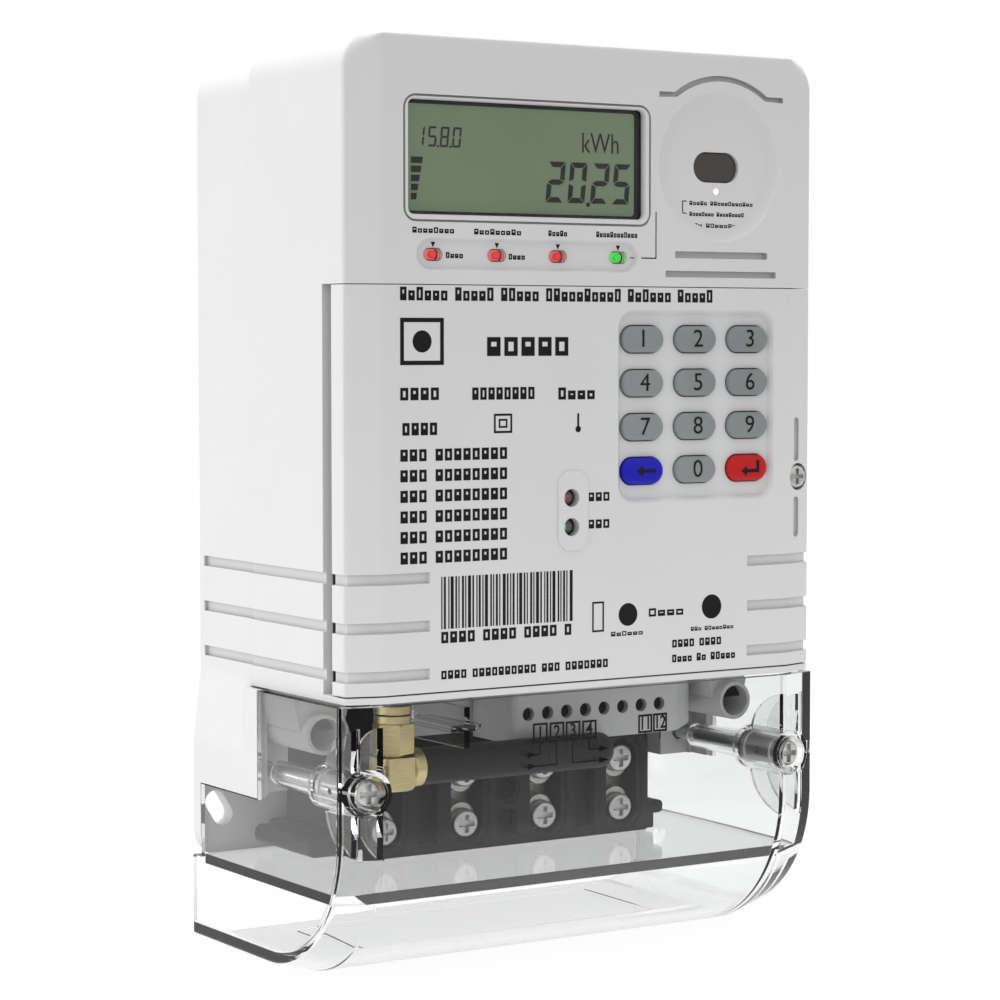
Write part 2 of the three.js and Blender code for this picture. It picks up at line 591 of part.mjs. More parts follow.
function terminalCover() {
  const room = coverBody(COVER_WALL);
  const outer = carve(coverBody(0), [
    slab(-80, 80, -90, 40, COVER_TOP, 0),
    slab(-80, 80, -0.5, 40, -120, 0),
  ]);
  const shell = carve(outer, [room]);
  const shelf = slab(-60.6, 60.6, FRONT + 4, -4.7, SHELF_TOP - COVER_WALL, SHELF_TOP);
  const switchPost = [
    slab(-32.5, -31.1, FRONT + 1, FRONT + 24, -50.3, COVER_TOP - 1.6),
    slab(-35.6, -28, FRONT + 1, FRONT + 24, -46.7, -45.3),
  ];
  const housings = both((s) => {
    const x = s * COVER_SCREW_X;
    const sleeve = turnedY([
      [4.1, 1], [5.1, 1], [5.1, 17.2], [3.3, 17.4], [2.5, 44.6], [1.7, 44.6], [1.7, 16], [4.1, 16],
    ], 20);
    const fins = [1, -1].map((up) => {
      const root = COVER_SCREW_Z + up * 4.4;
      const tip = COVER_SCREW_Z + up * 14;
      const fin = new THREE.Shape();
      fin.moveTo(FRONT + 1, root);
      fin.lineTo(FRONT + 13, root);
      fin.quadraticCurveTo(FRONT + 11, tip - up * 2, FRONT + 1, tip);
      return alongX(fin, x - 0.6, x + 0.6, { curveSegments: 5 });
    });
    return unite([sleeve.translate(x, FRONT, COVER_SCREW_Z), ...fins]);
  });
  const trims = [
    slab(-80, 80, SKIRT_FRONT - GAP, 10, SKIRT_BOTTOM - GAP, 0),
    slab(-80, 80, PLATE_FRONT - GAP, 10, PLATE_BOTTOM - GAP, -50),
    ...both((s) => rodY(s * COVER_SCREW_X, COVER_SCREW_Z, 3.4, FRONT - 2, FRONT + 5, 20)),
  ];
  const held = overlap(unite([shelf, ...switchPost]), coverBody(0.5));
  return carve(unite([shell, held, ...housings]), trims);
}
add('terminal_cover', terminalCover(), clearPlastic);

function coverScrew() {
  const body = turnedY([
    [0, 0], [2.9, 0], [2.9, 3.4], [3.3, 3.4], [3.3, 12.2], [3.7, 12.2], [3.7, 13.6], [1.4, 13.6], [1.4, 50], [0, 50],
  ], 18);
  const seal = rodX(8, 0, 0.8, -5, 5, 10);
  return carve(body, [seal, slab(-2.1, 2.1, -1, 1.4, -0.5, 0.5), slab(-0.5, 0.5, -1, 1.4, -2.1, 2.1)]);
}
const coverScrewShape = coverScrew();
for (const [side, s] of [['left', -1], ['right', 1]]) {
  const screw = add(`cover_screw_${side}`, coverScrewShape, steel);
  screw.position.set(s * COVER_SCREW_X, FRONT + 2, COVER_SCREW_Z);
}

export default meter;
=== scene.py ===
import math

import bmesh
import bpy
from mathutils import Matrix, Vector


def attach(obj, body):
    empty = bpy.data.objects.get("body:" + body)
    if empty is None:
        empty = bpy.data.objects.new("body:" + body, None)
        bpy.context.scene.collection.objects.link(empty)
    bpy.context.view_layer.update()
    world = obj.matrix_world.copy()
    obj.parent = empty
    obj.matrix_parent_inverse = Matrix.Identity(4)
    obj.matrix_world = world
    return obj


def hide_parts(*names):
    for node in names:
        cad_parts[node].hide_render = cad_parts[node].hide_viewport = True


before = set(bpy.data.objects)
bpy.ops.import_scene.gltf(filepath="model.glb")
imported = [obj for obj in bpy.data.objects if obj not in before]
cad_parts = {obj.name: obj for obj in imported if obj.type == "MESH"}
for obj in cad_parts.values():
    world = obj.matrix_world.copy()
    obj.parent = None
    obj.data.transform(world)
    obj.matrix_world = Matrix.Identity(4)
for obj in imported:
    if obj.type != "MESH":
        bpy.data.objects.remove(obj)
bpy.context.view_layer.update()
scene = bpy.context.scene

# ---------------------------------------------------------------- viewpoint and studio
# The meter is seen from its front left, level with its upper half. It stands on a
# pale floor in a pale room, under one broad soft light and a weaker one behind its left.
eye = bpy.data.objects.new("viewpoint", bpy.data.cameras.new("viewpoint"))
scene.collection.objects.link(eye)
eye.location = (-0.35256, -0.58141, 0.03719)
eye.rotation_euler = (math.radians(90 - 3.285), 0, math.radians(-32.69))
eye.data.lens = 103.35
eye.data.sensor_width = 36
eye.data.clip_start = 0.01
eye.data.dof.use_dof = False
scene.camera = eye
scene.view_settings.view_transform = "Standard"
scene.view_settings.look = "None"

for light_name, strength, spread, way in (
    ("overhead_light", 2.3, 40, (0.06, -0.10, -0.8)),
    ("rear_left_light", 0.25, 12, (0.6, -0.8, -0.1)),
):
    light = bpy.data.objects.new(light_name, bpy.data.lights.new(light_name, "SUN"))
    scene.collection.objects.link(light)
    light.data.energy = strength
    light.data.angle = math.radians(spread)
    light.rotation_euler = Vector(way).to_track_quat("-Z", "Y").to_euler()


def surroundings():
    """Pale all round, with darker strips that give clear plastic its edges."""
    world = bpy.data.worlds.new("pale_studio")
    scene.world = world
    world.use_nodes = True
    nodes = world.node_tree.nodes
    links = world.node_tree.links
    nodes.clear()
    place = nodes.new("ShaderNodeTexCoord")
    split = nodes.new("ShaderNodeSeparateXYZ")
    links.new(place.outputs["Generated"], split.inputs[0])
    height = nodes.new("ShaderNodeValToRGB")
    ramp = height.color_ramp
    ramp.elements[0].position = 0.0
    ramp.elements[0].color = (0.9, 0.9, 0.9, 1)
    ramp.elements[1].position = 1.0
    ramp.elements[1].color = (0.3, 0.3, 0.3, 1)
    for spot, level in ((0.44, 1.05), (0.55, 1.05), (0.6, 0.85), (0.66, 0.82), (0.74, 1.05), (0.86, 0.9)):
        ramp.elements.new(spot).color = (level, level, level, 1)
    lift = nodes.new("ShaderNodeMath")
    lift.operation = "MULTIPLY_ADD"
    lift.inputs[1].default_value = 0.5
    lift.inputs[2].default_value = 0.5
    links.new(split.outputs["Z"], lift.inputs[0])
    links.new(lift.outputs[0], height.inputs["Fac"])
    lit = nodes.new("ShaderNodeBackground")
    links.new(height.outputs["Color"], lit.inputs["Color"])
    across = nodes.new("ShaderNodeMath")
    across.operation = "MULTIPLY_ADD"
    across.inputs[1].default_value = -0.12
    across.inputs[2].default_value = 0.92
    links.new(split.outputs["X"], across.inputs[0])
    links.new(across.outputs[0], lit.inputs["Strength"])
    seen = nodes.new("ShaderNodeBackground")
    seen.inputs["Color"].default_value = (1, 1, 1, 1)
    seen.inputs["Strength"].default_value = 1.0
    ray = nodes.new("ShaderNodeLightPath")
    mix = nodes.new("ShaderNodeMixShader")
    links.new(ray.outputs["Is Camera Ray"], mix.inputs["Fac"])
    links.new(lit.outputs[0], mix.inputs[1])
    links.new(seen.outputs[0], mix.inputs[2])
    out = nodes.new("ShaderNodeOutputWorld")
    links.new(mix.outputs[0], out.inputs["Surface"])


surroundings()

# ---------------------------------------------------------------- rear case
# The rear half of the housing, moulded in white flame-retardant plastic, with two
# slanted screw slots in its back and low walls beside the terminals. Two screws from
# the front hold the halves together.
MM = 0.001
SIDES = (-1, 1)
REAR_SIDE = 60.5
SKIRT_SIDE = 62.4
SEAM = -26.0
GROOVE_TOPS = (-12.3, -22.4, -32.5)
GROOVE_HEIGHT = 2.3
COVER_SCREW = (55.4, -58.2)
BOSS = (54.0, -48.0)
AXES = {
    "x": lambda a, b, c: Vector((c, a, b)),
    "y": lambda a, b, c: Vector((a, c, b)),
    "z": lambda a, b, c: Vector((a, b, c)),
}


def rounded(corners, steps=8):
    """An outline through (a, b, radius) corners, each with its own round."""
    points = []
    for i, (a, b, radius) in enumerate(corners):
        here = Vector((a, b))
        if radius == 0:
            points.append(here)
            continue
        u = (Vector(corners[i - 1][:2]) - here).normalized()
        v = (Vector(corners[(i + 1) % len(corners)][:2]) - here).normalized()
        half = math.acos(max(-1, min(1, u.dot(v)))) / 2
        centre = here + (u + v).normalized() * radius / math.sin(half)
        first = here + u * radius / math.tan(half) - centre
        last = here + v * radius / math.tan(half) - centre
        sweep = math.atan2(first.x * last.y - first.y * last.x, first.dot(last))
        for k in range(steps + 1):
            points.append(centre + Matrix.Rotation(sweep * k / steps, 2) @ first)
    return [q for i, q in enumerate(points) if (q - points[i - 1]).length > 0.004]


def box_outline(a0, a1, b0, b1, radius=0, steps=8):
    return rounded([(a0, b0, radius), (a1, b0, radius), (a1, b1, radius), (a0, b1, radius)], steps)


def pill(a, b, width, height, steps=10):
    radius = min(width, height) / 2
    return box_outline(a - width / 2, a + width / 2, b - height / 2, b + height / 2, radius, steps)


def prism(outline, axis, low, high):
    """A solid of that outline, in millimetres, drawn out along one axis."""
    bm = bmesh.new()
    face = bm.faces.new([bm.verts.new(AXES[axis](a, b, low) * MM) for a, b in outline])
    grown = bmesh.ops.extrude_face_region(bm, geom=[face])["geom"]
    moved = [v for v in grown if isinstance(v, bmesh.types.BMVert)]
    bmesh.ops.translate(bm, verts=moved, vec=AXES[axis](0, 0, high - low) * MM)
    return bm


def block(x0, x1, y0, y1, z0, z1):
    return prism(box_outline(x0, x1, z0, z1), "y", y0, y1)


def loft(rings, closed=False):
    """A skin over rings of points in millimetres, capped unless it closes on itself."""
    bm = bmesh.new()
    loops = []
    for ring in rings:
        verts = [bm.verts.new(Vector(p) * MM) for p in ring]
        loops.append([bm.edges.new((verts[i - 1], verts[i])) for i in range(len(verts))])
    pairs = list(zip(loops, loops[1:])) + ([(loops[-1], loops[0])] if closed else [])
    for a, b in pairs:
        bmesh.ops.bridge_loops(bm, edges=a + b)
    if not closed:
        bmesh.ops.contextual_create(bm, geom=loops[0])
        bmesh.ops.contextual_create(bm, geom=loops[-1])
    return bm


def turned(profile, axis, place=(0, 0, 0), steps=32):
    """A piece turned about an axis, from the (radius, distance) points of its section."""
    bm = bmesh.new()
    along = {"x": 0, "y": 1, "z": 2}[axis]
    across = {"x": 2, "y": 0, "z": 0}[axis]
    verts = []
    for radius, far in profile:
        point = [0, 0, 0]
        point[along] = far
        point[across] = radius
        verts.append(bm.verts.new(Vector(point) * MM))
    pairs = zip(verts, verts[1:] + ([] if profile[0][0] == 0 else verts[:1]))
    edges = [bm.edges.new(pair) for pair in pairs]
    spin_axis = [0, 0, 0]
    spin_axis[along] = 1
    bmesh.ops.spin(
        bm, geom=verts + edges, cent=(0, 0, 0), axis=spin_axis, angle=math.tau, steps=steps, use_merge=True,
    )
    bmesh.ops.remove_doubles(bm, verts=bm.verts, dist=1e-7)
    bmesh.ops.translate(bm, verts=bm.verts, vec=Vector(place) * MM)
    return bm


def rod(axis, place, radius, low, high, steps=32):
    return turned([(0, low), (radius, low), (radius, high), (0, high)], axis, place, steps)


def made(name, bm):
    """The object of a finished bmesh, its faces pointing out."""
    bmesh.ops.recalc_face_normals(bm, faces=bm.faces)
    mesh = bpy.data.meshes.new(name)
    bm.to_mesh(mesh)
    bm.free()
    obj = bpy.data.objects.new(name, mesh)
    scene.collection.objects.link(obj)
    return obj


def combine(obj, tools, operation="DIFFERENCE"):
    """Cuts or joins other solids, and keeps the result as the object's own mesh."""
    helpers = []
    for bm in tools:
        helper = made("helper", bm)
        helpers.append(helper)
        step = obj.modifiers.new("step", "BOOLEAN")
        step.operation = operation
        step.solver = "EXACT"
        step.object = helper
    bpy.context.view_layer.update()
    depsgraph = bpy.context.evaluated_depsgraph_get()
    mesh = bpy.data.meshes.new_from_object(obj.evaluated_get(depsgraph))
    obj.modifiers.clear()
    obj.data = mesh
    for helper in helpers:
        bpy.data.objects.remove(helper)
    return obj


def finish(obj, material, body, nodes=(), edge=0.25, segments=2, angle=32):
    """Softens the edges, and says what the piece is made of and moves with."""
    if edge:
        bevel = obj.modifiers.new("soft_edges", "BEVEL")
        bevel.width = edge * MM
        bevel.segments = segments
        bevel.limit_method = "ANGLE"
        bevel.angle_limit = math.radians(angle)
        bevel.use_clamp_overlap = False
    obj.data.shade_smooth()
    if not edge:
        obj.data.set_sharp_from_angle(angle=math.radians(angle))
    weighted = obj.modifiers.new("even_shading", "WEIGHTED_NORMAL")
    weighted.keep_sharp = True
    obj.data.materials.clear()
    obj.data.materials.append(material)
    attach(obj, body)
    if nodes:
        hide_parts(*nodes)
    return obj


def node_group(name, inputs, outputs):
    """A new node group with those sockets, each given by its name and kind."""
    group = bpy.data.node_groups.new(name, "ShaderNodeTree")
    for way, sockets in (("INPUT", inputs), ("OUTPUT", outputs)):
        for label, kind in sockets.items():
            group.interface.new_socket(label, in_out=way, socket_type=f"NodeSocket{kind}")
    given = group.nodes.new("NodeGroupInput").outputs
    put = group.nodes.new("NodeGroupOutput").inputs
    return group, given, put


def marks_group(name, own_input, kind, low, high, pattern):
    """Surface marks: a colour from Dark to Light, a gloss and a height for the bump."""
    group, given, put = node_group(
        name,
        {own_input: kind, "Dark": "Color", "Light": "Color", "Rough From": "Float", "Rough To": "Float"},
        {"Colour": "Color", "Roughness": "Float", "Height": "Float"},
    )
    nodes, links = group.nodes, group.links
    place = nodes.new("ShaderNodeTexCoord")
    shade, height = pattern(nodes, links, place.outputs["Object"], given[own_input])
    spread = nodes.new("ShaderNodeMapRange")
    spread.inputs["From Min"].default_value = low
    spread.inputs["From Max"].default_value = high
    tone = nodes.new("ShaderNodeMix")
    tone.data_type = "RGBA"
    gloss = nodes.new("ShaderNodeMapRange")
    links.new(shade, spread.inputs["Value"])
    links.new(spread.outputs["Result"], tone.inputs["Factor"])
    links.new(given["Dark"], tone.inputs["A"])
    links.new(given["Light"], tone.inputs["B"])
    links.new(height, gloss.inputs["Value"])
    links.new(given["Rough From"], gloss.inputs["To Min"])
    links.new(given["Rough To"], gloss.inputs["To Max"])
    links.new(tone.outputs["Result"], put["Colour"])
    links.new(gloss.outputs["Result"], put["Roughness"])
    links.new(height, put["Height"])
    return group


def grain(nodes, links, place, fineness):
    """The fine grain of a mould's wall, with slow blotches of colour."""
    fine = nodes.new("ShaderNodeTexNoise")
    fine.inputs["Detail"].default_value = 4
    slow = nodes.new("ShaderNodeTexNoise")
    slow.inputs["Scale"].default_value = 38
    slow.inputs["Detail"].default_value = 2
    links.new(place, fine.inputs["Vector"])
    links.new(place, slow.inputs["Vector"])
    links.new(fineness, fine.inputs["Scale"])
    return slow.outputs["Fac"], fine.outputs["Fac"]


MOULDING = marks_group("moulding_grain", "Fineness", "Float", 0.35, 0.65, grain)


def material_of(name, marks, own_input, value, dark, light, rough, relief, depth, shader):
    """A material whose colour, gloss and relief come from one group of marks."""
    settings = {
        own_input: value, "Dark": (*dark, 1), "Light": (*light, 1),
        "Rough From": rough[0], "Rough To": rough[1],
    }
    material = bpy.data.materials.new(name)
    material.use_nodes = True
    nodes, links = material.node_tree.nodes, material.node_tree.links
    surface = nodes["Principled BSDF"]
    pattern = nodes.new("ShaderNodeGroup")
    pattern.name = "marks"
    pattern.node_tree = marks
    for socket, setting in settings.items():
        pattern.inputs[socket].default_value = setting
    bump = nodes.new("ShaderNodeBump")
    bump.inputs["Strength"].default_value = relief
    bump.inputs["Distance"].default_value = depth * MM
    links.new(pattern.outputs["Height"], bump.inputs["Height"])
    links.new(pattern.outputs["Colour"], surface.inputs["Base Color"])
    links.new(pattern.outputs["Roughness"], surface.inputs["Roughness"])
    links.new(bump.outputs["Normal"], surface.inputs["Normal"])
    for socket, setting in shader.items():
        surface.inputs[socket].default_value = setting
    return material


def moulded(name, dark, light, rough=(0.38, 0.5), fineness=2600, relief=0.06, shader=None):
    """A moulded plastic or rubber, its colour and gloss varying slightly."""
    return material_of(name, MOULDING, "Fineness", fineness, dark, light, rough, relief, 0.2, shader or {})


def painted_shade_group():
    """Painted shade: a colour made darker in narrow hollows, where the walls shade it."""
    group, given, put = node_group(
        "painted_hollow_shade", {"Colour": "Color", "Reach": "Float", "Depth": "Float"}, {"Colour": "Color"})
    hollow = group.nodes.new("ShaderNodeAmbientOcclusion")
    shade = group.nodes.new("ShaderNodeMix")
    shade.data_type = "RGBA"
    shade.blend_type = "MULTIPLY"
    group.links.new(given["Reach"], hollow.inputs["Distance"])
    group.links.new(given["Depth"], shade.inputs["Factor"])
    group.links.new(given["Colour"], shade.inputs["A"])
    group.links.new(hollow.outputs["Color"], shade.inputs["B"])
    group.links.new(shade.outputs["Result"], put["Colour"])
    return group


PAINTED_HOLLOW_SHADE = painted_shade_group()


def paint_hollow_shade(material, reach, depth):
    """Paints shade into a material's colour where its walls stand close together."""
    nodes, links = material.node_tree.nodes, material.node_tree.links
    crevice = nodes.new("ShaderNodeGroup")
    crevice.node_tree = PAINTED_HOLLOW_SHADE
    crevice.inputs["Reach"].default_value = reach * MM
    crevice.inputs["Depth"].default_value = depth
    links.new(nodes["marks"].outputs["Colour"], crevice.inputs["Colour"])
    links.new(crevice.outputs["Colour"], nodes["Principled BSDF"].inputs["Base Color"])


MATT = {"Specular IOR Level": 0.2}
case_white = moulded(
    "case_white", (0.755, 0.755, 0.755), (0.77, 0.77, 0.77), (0.5, 0.6), 2400, 0.04,
    {"Specular IOR Level": 0.3},
)
# painted shade: the white case's colour darkens in its hollows and recesses
paint_hollow_shade(case_white, 3.5, 0.45)

rear_corners = [
    (-SKIRT_SIDE, -80, 5), (SKIRT_SIDE, -80, 5), (SKIRT_SIDE, -54, 14), (REAR_SIDE, -38, 14),
    (REAR_SIDE, 97.7, 8), (-REAR_SIDE, 97.7, 8), (-REAR_SIDE, -38, 14), (-SKIRT_SIDE, -54, 14),
]
shell = prism(rounded(rear_corners), "y", SEAM + 0.2, 0)
back_rim = [e for e in shell.edges if all(v.co.y > -1e-6 for v in e.verts)]
bmesh.ops.bevel(
    shell, geom=back_rim, offset=1.0 * MM, segments=3, affect="EDGES", profile=0.5, material=-1,
)
rear_case = made("rear_case_shell", shell)
rear_hollows = [
    prism(box_outline(-57.6, 57.6, -37.3, 95.2, 5), "y", SEAM - 1, -4.3),
    block(-57.8, 57.8, SEAM - 1, -4.3, -64.4, -39.3),
    block(-70, 70, SEAM - 1, -4.3, -82, -63.4),
    block(-40, 34, SEAM - 1, -4.3, -42, -36),
    prism(box_outline(-13, 13, 66, 94, 2), "y", -2.3, 1),
]
for top in GROOVE_TOPS:
    for s in SIDES:
        x0, x1 = sorted((s * (REAR_SIDE - 0.85), s * 70))
        rear_hollows.append(block(x0, x1, SEAM - 1, -3, top - GROOVE_HEIGHT, top))
combine(rear_case, rear_hollows)
rear_walls = []
for s in SIDES:
    x0, x1 = sorted((s * 58.7, s * SKIRT_SIDE))
    rear_walls.append(block(x0, x1, -31.5, SEAM + 1, -63.4, -39.7))
    x0, x1 = sorted((s * 50.0, s * 60.0))
    rear_walls.append(block(x0, x1, -24.8, -3.8, -63.4, -39.1))
combine(rear_case, rear_walls, "UNION")
rear_slots = []
for s in SIDES:
    slot_cut = prism(pill(0, 0, 5.0, 8.6), "y", -8, 2)
    turn = Matrix.Translation(Vector((s * 56.6, 0, -69.6)) * MM) @ Matrix.Rotation(s * 0.55, 4, "Y")
    bmesh.ops.transform(slot_cut, matrix=turn, verts=slot_cut.verts)
    rear_slots.append(slot_cut)
    rear_slots.append(rod("y", (s * BOSS[0], 0, BOSS[1]), 1.9, -30, -9, 20))
    rear_slots.append(rod("y", (s * COVER_SCREW[0], 0, COVER_SCREW[1]), 1.9, -30, -14, 20))
combine(rear_case, rear_slots)
finish(rear_case, case_white, "meter", ["rear_case"], edge=0)

# ---------------------------------------------------------------- front case
# The front half of the housing, moulded in the same white and screwed to the rear
# half. Its top front holds the display and the reading port; below, it is set back
# behind the door.
FRONT = -70.0
SIDE = 61.0
DOOR_TOP = 47.8
DOOR_BOTTOM = -37.6
FLANGE = -39.3
PORT = (33.5, 74.3)
LAMP_X = (-40.4, -24.6, -9.1, 6.6)
PORT_SPOT_Z = 69.0
LAMP_Z = 54.0
DOOR_SCREW = (57.0, 5.1)
HINGE = (-57.5, -64.5)
# how far a ring of the front is drawn in at its sides and its top, and its depth
FRONT_RINGS = (
    (0.4, 0.4, SEAM - 0.2), (0.12, 0.12, SEAM - 0.32), (0.0, 0.0, SEAM - 0.6), (0.0, 0.0, -66.6),
    (0.08, 0.06, -67.2), (0.4, 0.25, -67.62), (1.2, 0.5, -67.92), (7.0, 0.75, -69.72),
    (7.7, 0.95, -69.9), (8.3, 1.3, -69.98), (9.0, 2.0, FRONT),
)


def case_ring(side_in, top_in, y, floor):
    half = SIDE - side_in
    radius = max(8 - side_in * 0.97, 0.4)
    top = 100 - top_in
    corners = [(-half, floor, 0), (half, floor, 0), (half, top, radius), (-half, top, radius)]
    return [(a, y, b) for a, b in rounded(corners, 10)]


front_case = made("front_case_shell", loft([case_ring(*ring, FLANGE) for ring in FRONT_RINGS]))
hollows = [
    prism(box_outline(-58.6, 58.6, DOOR_TOP + 2.4, 97.6, 5.6), "y", FRONT + 2.6, SEAM + 1),
    block(-58.6, 58.6, -59.8, SEAM + 1, -37.3, DOOR_TOP + 3),
    block(-70, 70, -72, -61.8, -37.9, DOOR_TOP),
    block(-70, -53.8, -62, -58.6, -37.9, DOOR_TOP),
]
combine(front_case, hollows)

tray = prism(box_outline(-53.5, 2.5, FLANGE, 41.5, 2), "y", -61.8, -41.0)
aux_plan = rounded([(-9, -51.3, 1.5), (35.1, -51.3, 4), (46.6, -41, 3), (46.6, -34, 0), (-9, -34, 0)])
bay_lip = block(-34, -8, -33.6, -31.4, -52.4, FLANGE + 1)
growths = [tray, prism(aux_plan, "z", -53.4, FLANGE + 1), bay_lip]
for s in SIDES:
    growths.append(rod("y", (s * BOSS[0], 0, BOSS[1]), 4.4, -48.8, SEAM - 0.2, 40))
    web = rounded([(-4.4, 0.5, 0), (4.4, 0.5, 0), (6.6, 9.7, 3), (-6.6, 9.7, 3)])
    web = [(s * BOSS[0] + a, BOSS[1] + b) for a, b in web]
    growths.append(prism(web, "y", -46, SEAM - 0.2))
combine(front_case, growths, "UNION")


def groove_outline(s, stop, depth, back):
    """The plan of a shallow groove that wraps round a front corner of the case."""
    outline = [
        (stop, FRONT - 1), (SIDE + 5, FRONT - 1), (SIDE + 5, back), (SIDE - depth, back),
        (SIDE - depth, -67.2), (SIDE - depth - 7.6, FRONT + depth), (stop + 0.9, FRONT + depth),
    ]
    return [(s * a, b) for a, b in outline]


bezel = box_outline(-48.0, 14.75, 60.75, 87.05, 2.9)
bezel_inner = box_outline(-47.55, 14.3, 61.2, 86.6, 2.5)
display_mouth = box_outline(-46.6, 13.1, 62.3, 86.0, 1.3)
display_lip = box_outline(-47.0, 13.5, 61.9, 86.4, 1.7)
cuts = [
    loft(
        [
            [(a, FRONT - 1, b) for a, b in bezel],
            [(a, FRONT + 0.9, b) for a, b in bezel],
            [(a, FRONT + 0.9, b) for a, b in bezel_inner],
            [(a, FRONT - 1, b) for a, b in bezel_inner],
        ],
        closed=True,
    ),
    prism(display_mouth, "y", FRONT - 1, FRONT + 4),
    loft([[(a, FRONT - 0.2, b) for a, b in display_lip], [(a, FRONT + 0.6, b) for a, b in display_mouth]]),
    prism(box_outline(-47.4, 13.4, 61.4, 87.2, 1), "y", FRONT + 1.5, FRONT + 4),
    prism(pill(PORT[0], PORT[1], 12.4, 6.7), "y", FRONT - 1, -60),
    loft(
        [
            [(a, FRONT - 0.05, b) for a, b in pill(-16.7, LAMP_Z, 56.6, 7.2)],
            [(a, FRONT + 0.35, b) for a, b in pill(-16.7, LAMP_Z, 55.9, 6.5)],
            [(a, FRONT + 0.9, b) for a, b in pill(-16.7, LAMP_Z, 55.2, 5.8)],
        ]
    ),
    turned([(0, -1), (16.6, -1), (16.5, 0), (16.0, 0.75), (14.9, 1.25), (13.5, 1.4), (0, 1.4)], "y",
           (PORT[0], FRONT, PORT[1]), 96),
    prism(box_outline(21.4, 46.9, 54.1, 55.6, 0.3), "y", FRONT - 1, FRONT + 1.2),
    prism(box_outline(18.8, 49.4, 49.9, 51.3, 0.3), "y", FRONT - 1, FRONT + 1.2),
    rod("y", (PORT[0], 0, PORT_SPOT_Z), 0.7, FRONT - 1, FRONT + 3, 24),
    block(-52, 1, -62.8, -50, -36, 40),
    block(-48, -35.2, -67, -46.5, FLANGE - 1, -35),
    block(-52, 1, -51, -42.5, -36, 40),
    prism([(-7.4, -49.7), (33.6, -49.7), (44, -40), (44, -30), (-7.4, -30)], "z", -54, -41.5),
    rod("y", (DOOR_SCREW[0], 0, DOOR_SCREW[1]), 2.2, -63, -58, 20),
    rod("z", (*HINGE, 0), 1.5, FLANGE - 1, DOOR_TOP + 1.6, 20),
]
for x in LAMP_X:
    cuts.append(prism(pill(x, LAMP_Z, 4.6, 2.6), "y", FRONT - 1, FRONT + 4))
for i in range(8):
    cuts.append(rod("y", (-5.3 + 5.1 * i, 0, -46.8), 1.5, -53, -46, 24))
for s in SIDES:
    cuts.append(rod("y", (s * BOSS[0], 0, BOSS[1]), 3.5, -50, -34, 40))
    cuts.append(rod("y", (s * BOSS[0], 0, BOSS[1]), 1.9, -36, -20, 20))
    for top in GROOVE_TOPS:
        x0, x1 = sorted((s * (SIDE - 0.85), s * 70))
        cuts.append(block(x0, x1, -58.8, SEAM + 1, top - GROOVE_HEIGHT, top))


def arch_slot():
    """The curved slot over the reading port, with a flat end each side."""
    centre = Vector((PORT[0] + 0.4, 72.4))
    spread = 0.62
    steps = 24
    upper, lower = [], []
    for k in range(steps + 1):
        a = math.pi / 2 + spread - 2 * spread * k / steps
        ray = Vector((math.cos(a), math.sin(a)))
        upper.append(tuple(centre + 22.0 * ray))
        lower.append(tuple(centre + 20.8 * ray))
    ends = [(17.0, 89.1), (17.0, 90.3)]
    far = [(51.2, 90.3), (51.2, 89.1)]
    return ends + upper + far + lower[::-1]


cuts.append(prism(arch_slot(), "y", FRONT - 1, FRONT + 1.2))
combine(front_case, cuts)
finish(front_case, case_white, "meter", ["front_case"], edge=0.1)

# ---------------------------------------------------------------- front door
# A door moulded in the same white, which covers the module bay and carries the keypad.
# It hangs on two pins at its left edge and is held by one sealed screw at its right.
DOOR_RINGS = ((SIDE, -62.4), (SIDE, -66.9), (60.85, -67.35), (60.4, -67.68), (59.6, -67.94),
              (54.2, -69.63), (53.3, -69.88), (52.4, -69.98), (51.6, FRONT))
KEY_X = (13.1, 27.5, 41.9)
KEY_Z = (36.3, 26.7, 17.1, 7.5)
STATUS = (-6.1, (2.2, -4.1))

right_half = list(DOOR_RINGS)
left_half = [(-x, y) for x, y in reversed(DOOR_RINGS)]
door = made("front_door_shell", prism(right_half + left_half, "z", DOOR_BOTTOM, DOOR_TOP - 0.16))
pad_top = [(a, FRONT - 0.05, b) for a, b in box_outline(6.1, 49.1, 0.4, 42.9, 4.2, 10)]
pad_mid = [(a, FRONT + 0.25, b) for a, b in box_outline(6.4, 48.8, 0.7, 42.6, 3.9, 10)]
pad_low = [(a, FRONT + 1.3, b) for a, b in box_outline(7.3, 47.9, 1.6, 41.7, 3.0, 10)]
inside = [(59.0, -61), (59.0, -66.4), (52.4, -68), (-52.4, -68), (-59.0, -66.4), (-59.0, -61)]
combine(door, [prism(inside, "z", DOOR_BOTTOM + 2, DOOR_TOP - 2.3)])
plate = rounded(
    [(-9.5, -7.2, 0.5), (-7.6, -9.2, 0.5), (-3.6, -9.2, 0.5), (-1.7, -7.2, 0.5),
     (-1.7, 6.0, 0.5), (-3.6, 7.9, 0.5), (-7.6, 7.9, 0.5), (-9.5, 6.0, 0.5)], 3)
combine(door, [
    prism(plate, "y", FRONT - 0.28, FRONT + 1),
    rod("z", (*HINGE, 0), 1.2, DOOR_TOP - 3.3, DOOR_TOP + 1.3, 24),
    rod("z", (*HINGE, 0), 1.2, -39.1, -34.6, 24),
    rod("y", (DOOR_SCREW[0] - 0.6, 0, DOOR_SCREW[1]), 3.6, -68, -63, 32),
], "UNION")
door_cuts = [loft([pad_top, pad_mid, pad_low])]
for x in KEY_X:
    for z in KEY_Z:
        door_cuts.append(prism(pill(x, z, 11.4, 6.2), "y", FRONT - 1, -66))
for z in STATUS[1]:
    door_cuts.append(rod("y", (STATUS[0], 0, z), 1.95, FRONT - 1, -66, 32))
for s in SIDES:
    for top in GROOVE_TOPS:
        door_cuts.append(prism(groove_outline(s, 41.2, 0.85, -60), "z", top - GROOVE_HEIGHT, top))
